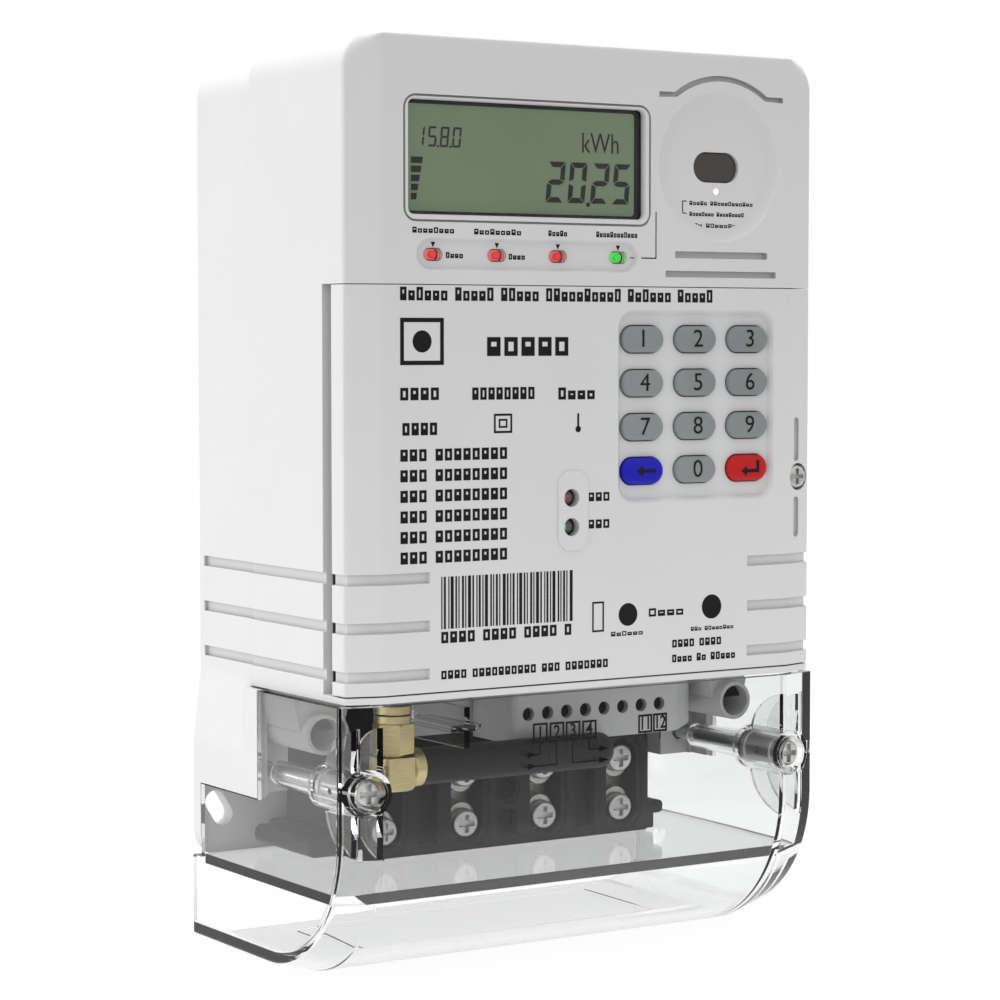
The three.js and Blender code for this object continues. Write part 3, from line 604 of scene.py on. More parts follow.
door_cuts += [
    rod("y", (DOOR_SCREW[0], 0, DOOR_SCREW[1]), 3.1, FRONT - 1, -66.4, 40),
    rod("y", (DOOR_SCREW[0], 0, DOOR_SCREW[1]), 1.7, -68, -62, 20),
    prism(box_outline(55.4, 57.2, 8.6, 18.6, 0.85), "y", FRONT - 1, -67.9),
    prism(box_outline(55.4, 57.2, -8.6, 0.6, 0.85), "y", FRONT - 1, -67.9),
]
combine(door, door_cuts)
finish(door, case_white, "door", ["front_door"], edge=0.1)

# ---------------------------------------------------------------- keys
# Twelve silicone keys, ten grey and two coloured, each moulded in one with its
# plunger and printed in black. They stand level with the door's face.
KEY_FRONT = -70.2
key_grey = moulded("key_grey", (0.255, 0.275, 0.275), (0.29, 0.31, 0.31), (0.42, 0.55), 1800, 0.08, MATT)
key_blue = moulded("key_blue", (0.010, 0.010, 0.42), (0.014, 0.014, 0.48), (0.4, 0.52), 1800, 0.08, MATT)
key_red = moulded("key_red", (0.50, 0.012, 0.013), (0.56, 0.015, 0.016), (0.4, 0.52), 1800, 0.08, MATT)
ink = moulded("print_ink", (0.004, 0.004, 0.004), (0.01, 0.01, 0.01), (0.5, 0.6), 3000, 0.04, MATT)


def lettered(name, words, size, x, y, z, material, body, squeeze=1.0, thin=0.0):
    """Small printed characters, standing a hair proud of a face that looks forwards."""
    curve = bpy.data.curves.new(name, "FONT")
    curve.body = words
    curve.size = size * MM
    curve.align_x = "CENTER"
    curve.align_y = "CENTER"
    curve.extrude = 0.02 * MM
    curve.offset = -thin * MM
    curve.resolution_u = 4
    raw = bpy.data.objects.new("raw", curve)
    scene.collection.objects.link(raw)
    bpy.context.view_layer.update()
    depsgraph = bpy.context.evaluated_depsgraph_get()
    mesh = bpy.data.meshes.new_from_object(raw.evaluated_get(depsgraph))
    bpy.data.objects.remove(raw)
    bm = bmesh.new()
    bm.from_mesh(mesh)
    bmesh.ops.remove_doubles(bm, verts=bm.verts, dist=1e-8)
    bmesh.ops.scale(bm, vec=(squeeze, 1, 1), verts=bm.verts)
    bmesh.ops.rotate(bm, cent=(0, 0, 0), matrix=Matrix.Rotation(math.pi / 2, 3, "X"), verts=bm.verts)
    bmesh.ops.translate(bm, vec=Vector((x, y, z)) * MM, verts=bm.verts)
    return finish(made(name, bm), material, body, edge=0)


def printed(name, outlines, y, material, body, thick=0.04):
    """Flat printed shapes on a face that looks forwards."""
    bm = bmesh.new()
    for outline in outlines:
        bm.faces.new([bm.verts.new(Vector((a, y, b)) * MM) for a, b in outline])
    grown = bmesh.ops.extrude_face_region(bm, geom=bm.faces[:])["geom"]
    moved = [v for v in grown if isinstance(v, bmesh.types.BMVert)]
    bmesh.ops.translate(bm, verts=moved, vec=(0, thick * MM, 0))
    return finish(made(name, bm), material, body, edge=0)


# how far each ring of a key is drawn in, from its root to its lightly domed face
KEY_RINGS = ((0, -65.6), (0, KEY_FRONT + 0.95)) + tuple(
    (1.3 * (1 - math.cos(k * math.pi / 12)), KEY_FRONT + 0.95 - 0.83 * math.sin(k * math.pi / 12))
    for k in range(1, 7)
) + ((2.0, KEY_FRONT + 0.04), (2.6, KEY_FRONT))
back_arrow = [(-2.0, 0.0), (-0.6, 0.9), (-0.6, 0.3), (2.0, 0.3), (2.0, -0.3), (-0.6, -0.3), (-0.6, -0.9)]
enter_arrow = [(-2.0, -0.5), (-0.8, 0.4), (-0.8, -0.2), (1.3, -0.2), (1.3, 1.3), (1.9, 1.3), (1.9, -0.8),
               (-0.8, -0.8), (-0.8, -1.4)]
KEY_ROWS = (("1", "2", "3"), ("4", "5", "6"), ("7", "8", "9"), ("back", "0", "enter"))
for z, row in zip(KEY_Z, KEY_ROWS):
    for x, mark in zip(KEY_X, row):
        cap = loft([
            [(a, y, b) for a, b in pill(x, z, 11.0 - 2 * inset, 5.8 - 2 * inset, 12)]
            for inset, y in KEY_RINGS
        ])
        colour, slot_name, arrow = {
            "back": (key_blue, "key_blue", back_arrow),
            "enter": (key_red, "key_red", enter_arrow),
        }.get(mark, (key_grey, "key_grey", None))
        body = f"key_{mark}_cap"
        finish(made(f"key_{mark}_button", cap), colour, body, [f"key_{mark}"], edge=0)
        face = KEY_FRONT - 0.02
        if arrow:
            outline = [(x + 0.4 + 1.3 * a, z + 1.3 * b) for a, b in arrow]
            printed(f"key_{mark}_mark", [outline], face, ink, body)
        else:
            shift = -0.4 if mark == "1" else 0.15
            lettered(f"key_{mark}_mark", mark, 5.5, x + shift, face, z, ink, body, 1.05, 0.02)

# ---------------------------------------------------------------- display
# A liquid-crystal panel of glass behind a clear acrylic pane, which is glued into the
# frame, with a black mask round it. Its segments and unit are dark shapes on the glass.
lcd_green = moulded("lcd_green", (0.27, 0.345, 0.225), (0.28, 0.355, 0.233), (0.4, 0.5), 5000, 0.0, MATT)
mask_black = moulded("mask_black", (0.012, 0.013, 0.012), (0.02, 0.021, 0.02), (0.4, 0.5), 2000, 0.05)
segment_dark = moulded("segment_dark", (0.018, 0.02, 0.017), (0.026, 0.028, 0.024), (0.5, 0.6), 3000, 0.02)
LCD_FACE = FRONT + 1.75
LEAN = 0.1
finish(made("display_mask", prism(box_outline(-47.2, 13.2, 61.6, 87.0, 1), "y", FRONT + 1.9, FRONT + 2.4)),
       mask_black, "meter", edge=0.1)
finish(made("display_panel", prism(box_outline(-47.1, 11.4, 63.0, 85.2, 0.8), "y", LCD_FACE, FRONT + 2.6)),
       lcd_green, "meter", ["display_glass"], edge=0.05)
STROKES = {"0": "abcdef", "1": "bc", "2": "abged", "5": "afgcd", "8": "abcdefg"}


def segment_outlines(digit, x, z, width, height, stroke):
    """The lit strokes of one digit of a seven-segment display, leaning to the right."""
    w = width / 2
    h = height / 2
    t = stroke
    gap = t * 0.14
    bar = [(-w + gap, 0), (-w + t, t / 2), (w - t, t / 2), (w - gap, 0), (w - t, -t / 2), (-w + t, -t / 2)]
    top = [(-w + gap, h), (w - gap, h), (w - t, h - t), (-w + t, h - t)]
    post = [(w, gap + t * 0.1), (w, h - gap), (w - t, h - t - gap * 1.5), (w - t, t / 2 + gap)]
    shapes = {
        "a": top,
        "d": [(a, -b) for a, b in top],
        "g": bar,
        "b": post,
        "c": [(a, -b) for a, b in post],
        "f": [(-a, b) for a, b in post],
        "e": [(-a, -b) for a, b in post],
    }
    return [[(x + a + b * LEAN, z + b) for a, b in shapes[k]] for k in STROKES[digit]]


marks = []
for i, digit in enumerate("2025"):
    marks += segment_outlines(digit, -9.1 + i * 5.62 + (0.3 if i > 1 else 0), 69.9, 4.4, 8.7, 1.15)
marks.append(pill(-0.72, 65.3, 1.0, 1.0, 6))
for i, digit in enumerate("1580"):
    marks += segment_outlines(digit, -43.0 + i * 3.0, 78.5, 2.05, 4.2, 0.42)
marks.append(pill(-38.65, 76.5, 0.5, 0.5, 6))
marks.append(pill(-35.6, 76.5, 0.5, 0.5, 6))
for i in range(5):
    high = 74.2 - i * 1.88
    far = -45.2 + 2.9 - i * 0.36
    marks.append([(-45.2, high), (far, high), (far - 0.25, high - 1.35), (-45.2, high - 1.35)])
on_glass = LCD_FACE - 0.06
printed("display_segments", marks, on_glass, segment_dark, "meter", 0.05)
lettered("display_unit", "kWh", 6.3, 2.5, on_glass, 78.3, segment_dark, "meter", 0.8, 0.03)

clear_pane = moulded(
    "clear_pane", (0.97, 0.98, 0.98), (0.98, 0.99, 0.99), (0.02, 0.04), 900, 0.0,
    {"Transmission Weight": 1.0, "IOR": 1.12},
)
finish(made("display_pane", prism(box_outline(-47.3, 13.3, 61.5, 87.1, 1), "y", FRONT + 1.5, FRONT + 1.64)),
       clear_pane, "meter", ["display_window"], edge=0)

# ---------------------------------------------------------------- indicator lamps
# Four tinted light pipes of clear acrylic under the display, three red and one green,
# pressed in from behind over their lamps, and two domed lamps behind the door's plate.
lens_red = moulded(
    "lens_red", (1.0, 0.8, 0.8), (1.0, 0.84, 0.84), (0.02, 0.05), 700, 0.02,
    {"Transmission Weight": 1.0, "IOR": 1.25},
)
lens_green = moulded(
    "lens_green", (0.82, 1.0, 0.82), (0.86, 1.0, 0.86), (0.02, 0.05), 700, 0.02,
    {"Transmission Weight": 1.0, "IOR": 1.25},
)
core_red = moulded(
    "core_red", (0.75, 0.05, 0.05), (0.9, 0.09, 0.09), (0.3, 0.4), 900, 0.03,
    {"Emission Color": (1, 0.04, 0.04, 1), "Emission Strength": 0.3},
)
core_green = moulded(
    "core_green", (0.05, 0.6, 0.08), (0.08, 0.75, 0.1), (0.3, 0.4), 900, 0.03,
    {"Emission Color": (0.04, 1, 0.06, 1), "Emission Strength": 0.3},
)
collar_dark = moulded("collar_dark", (0.09, 0.04, 0.035), (0.12, 0.055, 0.05), (0.3, 0.4), 900, 0.03)
# painted glow: the seats behind the light pipes give off light, though they are no lamps, so the pipes look
# lit and pale
painted_glow_red_seat = moulded("painted_glow_red_seat", (0.8, 0.42, 0.42), (0.9, 0.5, 0.5), (0.4, 0.5), 900, 0.03,
                   {"Emission Color": (1, 0.5, 0.5, 1), "Emission Strength": 0.25})
painted_glow_green_seat = moulded("painted_glow_green_seat", (0.42, 0.8, 0.44), (0.5, 0.9, 0.52), (0.4, 0.5), 900, 0.03,
                     {"Emission Color": (0.5, 1, 0.55, 1), "Emission Strength": 0.25})
LAMPS = ("active_pulse_lamp", "reactive_pulse_lamp", "alarm_lamp", "credit_lamp")
PIPE_RINGS = ((0, -41.5), (0, FRONT + 0.7), (0.08, FRONT + 0.5), (0.3, FRONT + 0.36), (0.6, FRONT + 0.3))
for name, x in zip(LAMPS, LAMP_X):
    green = name == "credit_lamp"
    slot_name = "lens_green" if green else "lens_red"
    pipe = loft([
        [(a, y, b) for a, b in pill(x, LAMP_Z, 4.3 - 2 * inset, 2.3 - 2 * inset, 10)]
        for inset, y in PIPE_RINGS
    ])
    finish(made(f"{name}_pipe", pipe), lens_green if green else lens_red, "meter", [name], edge=0)
    # the lamp itself lies across the pipe: a bullet with a collar at its foot
    centre = (x + 0.2, FRONT + 1.2, LAMP_Z)
    bullet_half = [(0, -1.35), (0.35, -1.3), (0.65, -1.05), (0.75, -0.7), (0.75, 0.3), (0, 0.3)]
    bullet = turned(bullet_half, "x", centre, 24)
    finish(made(f"{name}_bullet", bullet), core_green if green else core_red, "meter", edge=0)
    collar = turned([(0, 0.35), (0.95, 0.35), (0.95, 0.62), (0, 0.62)], "x", centre, 24)
    finish(made(f"{name}_collar", collar), collar_dark, "meter", edge=0.05)
    # a seat behind the pipe, whose glow is painted light
    seat = prism(pill(x, LAMP_Z, 4.1, 2.1, 10), "y", FRONT + 2.2, FRONT + 3)
    finish(made(f"{name}_seat", seat), painted_glow_green_seat if green else painted_glow_red_seat, "meter", edge=0)

lamp_body = moulded(
    "lamp_body", (0.16, 0.13, 0.12), (0.2, 0.165, 0.15), (0.1, 0.2), 900, 0.02,
    {"Transmission Weight": 0.2, "IOR": 1.45, "Coat Weight": 0.6},
)
for name, z, painted_highlight in (("power_lamp", 2.2, core_red), ("network_lamp", -4.1, core_green)):
    slot_name = "lens_red" if name == "power_lamp" else "lens_green"
    half = [(0, 0.9), (0.6, 0.97), (1.1, 1.2), (1.45, 1.6), (1.6, 2.2), (1.6, 7.6), (0, 7.6)]
    dome = made(f"{name}_dome", turned(half, "y", (STATUS[0], FRONT, z), 32))
    finish(dome, lamp_body, "meter", [name], edge=0)
    # a painted highlight: a small disc off to one side inside the dome that glows in the lamp's colour
    painted_highlight_disc = turned([(0, 0), (0.5, 0.05), (0.62, 0.3), (0, 0.3)], "y", (STATUS[0] - 0.75, FRONT + 1.02, z), 20)
    finish(made(f"{name}_glow", painted_highlight_disc), painted_highlight, "meter", edge=0)

# ---------------------------------------------------------------- reading port
# An infrared filter of dark brown plastic, pressed in at the bottom of a short
# pill-shaped well, and a small white calibration lamp under it.
port_brown = moulded(
    "port_brown", (0.028, 0.022, 0.019), (0.036, 0.029, 0.025), (0.18, 0.26), 1500, 0.03,
    {"Coat Weight": 0.3},
)
port_filter = made("port_filter", prism(pill(*PORT, 12.2, 6.5), "y", FRONT + 2.2, -58))
finish(port_filter, port_brown, "meter", ["optical_window"], edge=0.2)
port_spot = moulded(
    "port_spot", (0.95, 0.95, 0.95), (1, 1, 1), (0.3, 0.4), 1500, 0.02,
    {"Emission Color": (1, 1, 1, 1), "Emission Strength": 0.6},
)
port_lamp = made("port_spot", rod("y", (PORT[0], 0, PORT_SPOT_Z), 0.68, FRONT + 1.35, FRONT + 2.4, 24))
finish(port_lamp, port_spot, "meter", edge=0.1)

# ---------------------------------------------------------------- terminal block
# Black glass-filled plastic, moulded in one and held between the cases. Each of its
# four poles is a rounded well with two cross-headed screws over a tinned brass cage.
block_black = moulded(
    "block_black", (0.020, 0.020, 0.020), (0.026, 0.026, 0.026), (0.52, 0.58), 900, 0.004, MATT,
)
# painted shade: the black block's colour darkens further in its wells and recesses
paint_hollow_shade(block_black, 4.0, 0.95)
POLE_PITCH = 21.3
POLES = [(i - 1.5) * POLE_PITCH for i in range(4)]
POLE_Z = -67.5
SCREW_ROWS = (-61.6, -73.3)
SCREW_FACE = -34.0
BLOCK_FACE = -34.4
main_part = prism(box_outline(-39.4, 39.4, -79.3, -55.5, 0.8, 3), "y", BLOCK_FACE, -4.6)
terminal_block = made("terminal_block_body", main_part)
ear_foot = rounded([(34, -79.0, 0), (41.2, -79.0, 0.4), (41.2, -75, 0), (34, -75, 0)], 3)
combine(terminal_block, [
    prism(box_outline(-32, 32, -57, -42.3, 1, 3), "y", -30, -4.6),
    prism(box_outline(-44, 44, -77.6, -73, 1.4), "y", -12, -4.9),
    prism(box_outline(-49.5, -34, -77.6, -73.5, 1.8), "y", -33, -8),
    prism(box_outline(34, 43.9, -75.6, -72.4, 1.2), "y", BLOCK_FACE + 0.3, -28),
    prism(ear_foot, "y", BLOCK_FACE + 0.15, -28.3),
], "UNION")
wells = []
for x in POLES:
    wells.append(prism(pill(x, POLE_Z, 11.4, 23.4), "y", BLOCK_FACE - 1, BLOCK_FACE + 0.35))
    wells.append(prism(pill(x, POLE_Z, 8.4, 20.4), "y", BLOCK_FACE - 1, -27.5))
    wells.append(block(x - 5.3, x + 5.3, -28, -10.7, -80.5, -57.8))
for x in (-POLE_PITCH, 0, POLE_PITCH):
    strip = box_outline(x - 2.7, x + 2.7, -77, -58.5 if x else -70.8, 0.3, 3)
    wells.append(prism(strip, "y", BLOCK_FACE - 1, BLOCK_FACE + 3))
wells.append(rod("y", (0, 0, -66.2), 3.5, BLOCK_FACE - 1, BLOCK_FACE + 0.5, 40))
wells.append(rod("y", (0, 0, -66.2), 2.8, BLOCK_FACE - 1, BLOCK_FACE + 3, 40))
combine(terminal_block, wells)
finish(terminal_block, block_black, "meter", ["terminal_block"], edge=0.1)


def comb_marks(nodes, links, place, stretch):
    """Fine lines that run one way, as a tool or a roller leaves them."""
    comb = nodes.new("ShaderNodeMapping")
    lines = nodes.new("ShaderNodeTexNoise")
    lines.inputs["Scale"].default_value = 1
    lines.inputs["Detail"].default_value = 5
    links.new(place, comb.inputs["Vector"])
    links.new(stretch, comb.inputs["Scale"])
    links.new(comb.outputs["Vector"], lines.inputs["Vector"])
    return lines.outputs["Fac"], lines.outputs["Fac"]


TOOLING = marks_group("tool_marks", "Stretch", "Vector", 0.3, 0.7, comb_marks)


def metal(name, dark, light, rough, stretch, relief=0.12):
    """Turned, rolled or drawn metal, with fine marks along one direction."""
    return material_of(name, TOOLING, "Stretch", stretch, dark, light, rough, relief, 0.1, {"Metallic": 1})


zinc = metal("zinc_plate", (0.60, 0.60, 0.59), (0.72, 0.72, 0.71), (0.34, 0.46), (900, 900, 3000))
tinned = metal("tinned_brass", (0.55, 0.54, 0.52), (0.64, 0.63, 0.6), (0.35, 0.5), (600, 2500, 600))


def cross_head(place, radius, head, shank, length, arm, slot_width):
    """A domed screw head with a cross recess, looking forwards, on its shank."""
    profile = [(0, -0.12), (radius * 0.6, -0.06), (radius - 0.3, 0.12), (radius, 0.45), (radius, head),
               (shank, head), (shank, length), (0, length)]
    screw = made("screw", turned(profile, "y", place, 48))
    x, y, z = place
    deep = min(1.3, head * 0.7)
    combine(screw, [
        block(x - arm, x + arm, y - 1, y + deep, z - slot_width / 2, z + slot_width / 2),
        block(x - slot_width / 2, x + slot_width / 2, y - 1, y + deep, z - arm, z + arm),
    ])
    return screw


for i, x in enumerate(POLES, 1):
    cage = made(f"terminal_cage_{i}", prism(box_outline(x - 5, x + 5, -78.3, -58.1, 0.8, 4), "y", -27.2, -11))
    # the tapped collars stand a little nearer each other than the screws they hold
    collars = (SCREW_ROWS[0] - 1.0, SCREW_ROWS[1] + 1.0)
    combine(cage, [rod("y", (x, 0, z), 3.7, -31.6, -26, 40) for z in collars], "UNION")
    holes = [rod("z", (x, -17.5, 0), 4.2, -79, -59.6, 32)]
    for z in SCREW_ROWS:
        holes.append(rod("y", (x, 0, z), 3.3, -33, -20, 32))
    combine(cage, holes)
    finish(cage, tinned, "meter", [f"terminal_clamp_{i}"], edge=0.15)
    for z, name in zip(SCREW_ROWS, ("upper", "lower")):
        screw = cross_head((x, SCREW_FACE, z), 3.2, 3.0, 2.9, 11.2, 2.1, 1.15)
        node = f"terminal_screw_{i}_{name}"
        screw.name = f"{node}_head"
        finish(screw, zinc, f"{node}_turn", [node], edge=0.08)

aux = made("aux_strip_body", prism(box_outline(-7, 33.2, -52.8, -42, 0.5, 3), "y", -49.3, -35))
finish(aux, block_black, "meter", ["aux_terminal_strip"], edge=0.15)

# ---------------------------------------------------------------- aerial and its socket
# A stub aerial in a black plastic sleeve on a brass right-angle plug. The plug's nut
# screws to a brass socket that comes down out of the communication module.
AERIAL = (-42.6, -55.4)
AERIAL_Z = -55.4
brass = metal("drawn_brass", (0.66, 0.55, 0.27), (0.82, 0.71, 0.40), (0.28, 0.4), (300, 300, 6500), 0.35)
aerial_black = moulded(
    "aerial_black", (0.016, 0.016, 0.016), (0.022, 0.022, 0.022), (0.4, 0.5), 2200, 0.008, MATT,
)
x, y = AERIAL
socket_half = [(0, -47.5), (2.1, -47.5), (2.1, -43.4), (4.0, -43.4), (4.0, -41.6), (2.1, -41.6), (2.1, -38.5),
               (0, -38.5)]
socket = made("aerial_socket", turned(socket_half, "z", (x, y, 0), 40))
finish(socket, brass, "meter", ["sma_socket"], edge=0.12)

hexagon = []
for k in range(6):
    angle = math.pi / 3 * k + 0.35
    hexagon.append((x + 4.62 * math.cos(angle), y + 4.62 * math.sin(angle)))
nut = made("aerial_nut_body", prism(hexagon, "z", -52.0, -45.4))
nut_half = [(0, -53), (3.9, -53), (4.35, -52.0), (4.75, -51.4), (4.75, -46.0), (4.35, -45.4), (3.9, -44),
            (0, -44)]
combine(nut, [turned(nut_half, "z", (x, y, 0), 48)], "INTERSECT")
combine(nut, [rod("z", (x, y, 0), 3.95, -45.9, -43.7, 48)], "UNION")
combine(nut, [rod("z", (x, y, 0), 2.6, -53, -43, 40)])
finish(nut, brass, "aerial_nut", ["antenna_nut"], edge=0.12)

elbow_plan = box_outline(x - 3.6, x + 3.9, y - 3.9, y + 3.9, 1.2, 6)
elbow = made("aerial_elbow_body", prism(elbow_plan, "z", -59.8, -52.6))
elbow_half = [(0, -5.4), (3.0, -5.4), (4.9, -3.2), (5.3, 0), (4.9, 3.2), (3.0, 5.0), (0, 5.0)]
combine(elbow, [turned(elbow_half, "y", (x, y, AERIAL_Z - 0.4), 48)], "INTERSECT")
ring_half = [(0, x + 3.7), (3.7, x + 3.7), (4.15, x + 4.1), (4.15, x + 6.2), (0, x + 6.2)]
combine(elbow, [
    rod("z", (x, y, 0), 2.2, -53, -48, 40),
    rod("x", (0, y, AERIAL_Z), 2.8, x + 1, x + 6, 40),
    turned(ring_half, "x", (0, y, AERIAL_Z), 48),
], "UNION")
finish(elbow, brass, "aerial", ["antenna_elbow"], edge=0.15)

sleeve_half = [(0, x + 6.5), (3.9, x + 6.5), (4, x + 6.8), (4, x + 53)]
for k in range(1, 9):
    angle = math.pi / 2 * k / 8
    sleeve_half.append((0.6 + 3.4 * math.cos(angle), x + 53 + 3.4 * math.sin(angle)))
sleeve_half.append((0, x + 56.4))
sleeve = made("aerial_sleeve", turned(sleeve_half, "x", (0, y, AERIAL_Z), 48))
finish(sleeve, aerial_black, "aerial", ["antenna_sleeve"], edge=0)

# ---------------------------------------------------------------- terminal cover
# One clear polycarbonate moulding: a flat front that curves under into the floor, side
# walls, a shelf, a cross-shaped post and two long screw sleeves held by curved fins.
# Two sealed screws through the sleeves hold it to the rear case.
COVER_TOP = -39.9
COVER_BOTTOM = -101.0
CURVE = 34.0
SHELF_FRONT = -63.6
KNOCK_OUT = (39.6, -37.0, -8.0)
SCORE = 0.6
SLEEVE_HALF = [(4.0, 1.2), (5.1, 1.2), (5.1, 17.2), (3.4, 17.6), (2.6, 44.6), (1.75, 44.6), (1.75, 16),
               (4.0, 16)]
# half width and how far the skin has fallen back there, over the chamfered corner
COVER_STATIONS = ((62.4, 3.2), (62.2, 2.75), (61.7, 2.5), (53.3, 0.06), (52.9, 0.0))
clear_cover = moulded(
    "clear_cover", (0.905, 0.91, 0.91), (0.915, 0.92, 0.92), (0.0, 0.02), 500, 0.0,
    {"Transmission Weight": 1.0, "IOR": 1.38},
)


def cover_outline(x, inset, steps=28):
    """The side view of the cover's skin, as a ring at one distance across."""
    front = FRONT + inset
    floor = COVER_BOTTOM + inset
    radius = CURVE - inset
    ring = [(x, 12, -30), (x, front, -30)]
    for k in range(steps + 1):
        angle = math.pi + math.pi / 2 * k / steps
        ring.append((x, front + radius * (1 + math.cos(angle)), floor + radius * (1 + math.sin(angle))))
    ring.append((x, 12, floor))
    return ring


def cover_solid(inset):
    half = [(x - inset * (1 if x > 60 else 0.5), fall + inset) for x, fall in COVER_STATIONS]
    rings = [cover_outline(-x, fall) for x, fall in half] + [cover_outline(x, fall) for x, fall in half[::-1]]
    return loft(rings)


cover = made("terminal_cover_shell", cover_solid(0))
combine(cover, [
    cover_solid(2.1),
    block(-80, 80, -90, 40, COVER_TOP, 0),
    block(-80, 80, -0.5, 40, -120, 0),
])
inner_parts = [
    block(-60.8, 60.8, SHELF_FRONT, -4.7, -81.8, -79.6),
    block(-32.5, -31.1, FRONT + 1.6, -46, -50.3, -41.5),
    block(-35.8, -28.2, FRONT + 1.6, -46, -46.7, -45.3),
]
for s in SIDES:
    x = s * COVER_SCREW[0]
    z = COVER_SCREW[1]
    inner_parts.append(turned(SLEEVE_HALF, "y", (x, FRONT, z), 40))
    for lift in SIDES:
        root = z + lift * 4.6
        tip = z + lift * 14.0
        curve = [(FRONT + 1.4, root), (FRONT + 13.0, root)]
        for k in range(1, 9):
            t = k / 8
            a = (1 - t) ** 2 * 13.0 + 2 * (1 - t) * t * 11.5 + t ** 2 * 1.4
            b = (1 - t) ** 2 * root + 2 * (1 - t) * t * (tip - lift * 2) + t ** 2 * tip
            curve.append((FRONT + a, b))
        for lean in (-2.6, 2.6):
            fin = prism(curve, "x", x - 0.6 + lean, x + 0.6 + lean)
            inner_parts.append(fin)
combine(cover, inner_parts, "UNION")
trims = [
    block(-80, 80, -31.8, 10, -63.7, 0),
    block(-80, 80, -4.6, 10, -80.3, -50),
]
# scored lines round the panel of the floor that is knocked out for the cables
half, front, back = KNOCK_OUT
for y in (front, back - SCORE):
    trims.append(block(-half, half, y, y + SCORE, -99.5, -98.0))
for x in (-half, half - SCORE):
    trims.append(block(x, x + SCORE, front, back, -99.5, -98.0))
for s in SIDES:
    trims.append(rod("y", (s * COVER_SCREW[0], 0, COVER_SCREW[1]), 3.4, FRONT - 2, FRONT + 5, 40))
    trims.append(rod("y", (s * COVER_SCREW[0], 0, COVER_SCREW[1]), 3.9, FRONT + 1, FRONT + 15.8, 40))
combine(cover, trims)
finish(cover, clear_cover, "cover", ["terminal_cover"], edge=0, angle=14)

# painted shade: the front face of the cover's shelf gets a near-black, barely clear material for the dark
# edge that clear plastic shows there
painted_edge_shade = moulded(
    "cover_painted_edge_shade", (0.02, 0.02, 0.02), (0.035, 0.035, 0.035), (0.1, 0.2), 500, 0.0,
    {"Transmission Weight": 0.2, "IOR": 1.47},
)
cover.data.materials.append(painted_edge_shade)
for face in cover.data.polygons:
    if abs(face.center.y - SHELF_FRONT * MM) < 1e-5 and -81.9 * MM < face.center.z < -79.5 * MM:
        face.material_index = 1

# ---------------------------------------------------------------- cover screws
# Two long plated screws with drum heads. A hole through each head takes a seal wire,
# and a flange behind it bears on the cover's sleeve.
COVER_SCREW_HALF = [(0, -0.1), (2.4, 0), (2.9, 0.4), (2.9, 3.4), (3.35, 3.6), (3.35, 12.2), (3.8, 12.3),
                    (3.8, 13.6), (1.45, 13.8), (1.45, 50), (0, 50)]
for side, s in (("left", -1), ("right", 1)):
    x = s * COVER_SCREW[0]
    z = COVER_SCREW[1]
    y = FRONT + 2
    screw = made(f"cover_screw_{side}_body", turned(COVER_SCREW_HALF, "y", (x, y, z), 48))
    combine(screw, [
        block(x - 2.1, x + 2.1, y - 1, y + 1.5, z - 0.55, z + 0.55),
        block(x - 0.55, x + 0.55, y - 1, y + 1.5, z - 2.1, z + 2.1),
        rod("x", (0, y + 8, z), 0.8, x - 5, x + 5, 24),
    ])
    finish(screw, zinc, f"{side}_cover_screw", [f"cover_screw_{side}"], edge=0.1)

# ---------------------------------------------------------------- other screws and the bracket
# Plated steel: the door's lock screw, the two screws that join the cases, and the
# bracket that hooks the meter on the wall.
lock = cross_head((DOOR_SCREW[0], -68.5, DOOR_SCREW[1]), 2.6, 1.8, 1.3, 9, 1.8, 0.8)
lock.name = "door_lock_screw"
finish(lock, zinc, "door_lock", ["door_screw"], edge=0.06)
for side, s in (("left", -1), ("right", 1)):
    screw = cross_head((s * BOSS[0], -37, BOSS[1]), 3.0, 2.4, 1.6, 24, 1.9, 0.9)
    screw.name = f"case_screw_{side}_body"
    finish(screw, zinc, "meter", [f"case_screw_{side}"], edge=0.06)
bracket = made("bracket_plate", prism(box_outline(-12.6, 12.6, 66.4, 93.6, 1.6), "y", -2, -0.3))
combine(bracket, [rod("y", (0, 0, 76), 4.2, -4, 1, 40), prism(pill(0, 81.5, 4.6, 13), "y", -4, 1)])
finish(bracket, zinc, "meter", ["hanging_bracket"], edge=0.15)

# ---------------------------------------------------------------- inner parts
# The parts behind the cases keep the frame's shapes, each in the finish of the
# real thing: boards, battery, relay, sounder, light guide, copper link and seal.
board_green = moulded("board_green", (0.012, 0.07, 0.03), (0.02, 0.11, 0.045), (0.3, 0.45), 900, 0.1)
guide_white = moulded("guide_white", (0.78, 0.8, 0.78), (0.84, 0.86, 0.84), (0.25, 0.35), 900, 0.03)
battery_blue = moulded("battery_blue", (0.02, 0.09, 0.28), (0.03, 0.12, 0.34), (0.2, 0.3), 500, 0.06)
relay_blue = moulded("relay_blue", (0.02, 0.06, 0.18), (0.03, 0.08, 0.22), (0.4, 0.5), 1500, 0.1)
sounder_black = moulded("sounder_black", (0.012, 0.012, 0.012), (0.02, 0.02, 0.02), (0.4, 0.5), 1500, 0.1)
seal_dark = moulded("seal_dark", (0.02, 0.022, 0.025), (0.03, 0.032, 0.035), (0.7, 0.85), 800, 0.15)
mat_grey = moulded("membrane_grey", (0.12, 0.135, 0.135), (0.15, 0.165, 0.165), (0.6, 0.7), 1500, 0.1)
module_grey = moulded("module_grey", (0.40, 0.43, 0.44), (0.44, 0.47, 0.48), (0.4, 0.52), 2000, 0.06)
copper = metal("copper_strip", (0.62, 0.3, 0.18), (0.74, 0.4, 0.25), (0.3, 0.45), (400, 400, 2600))
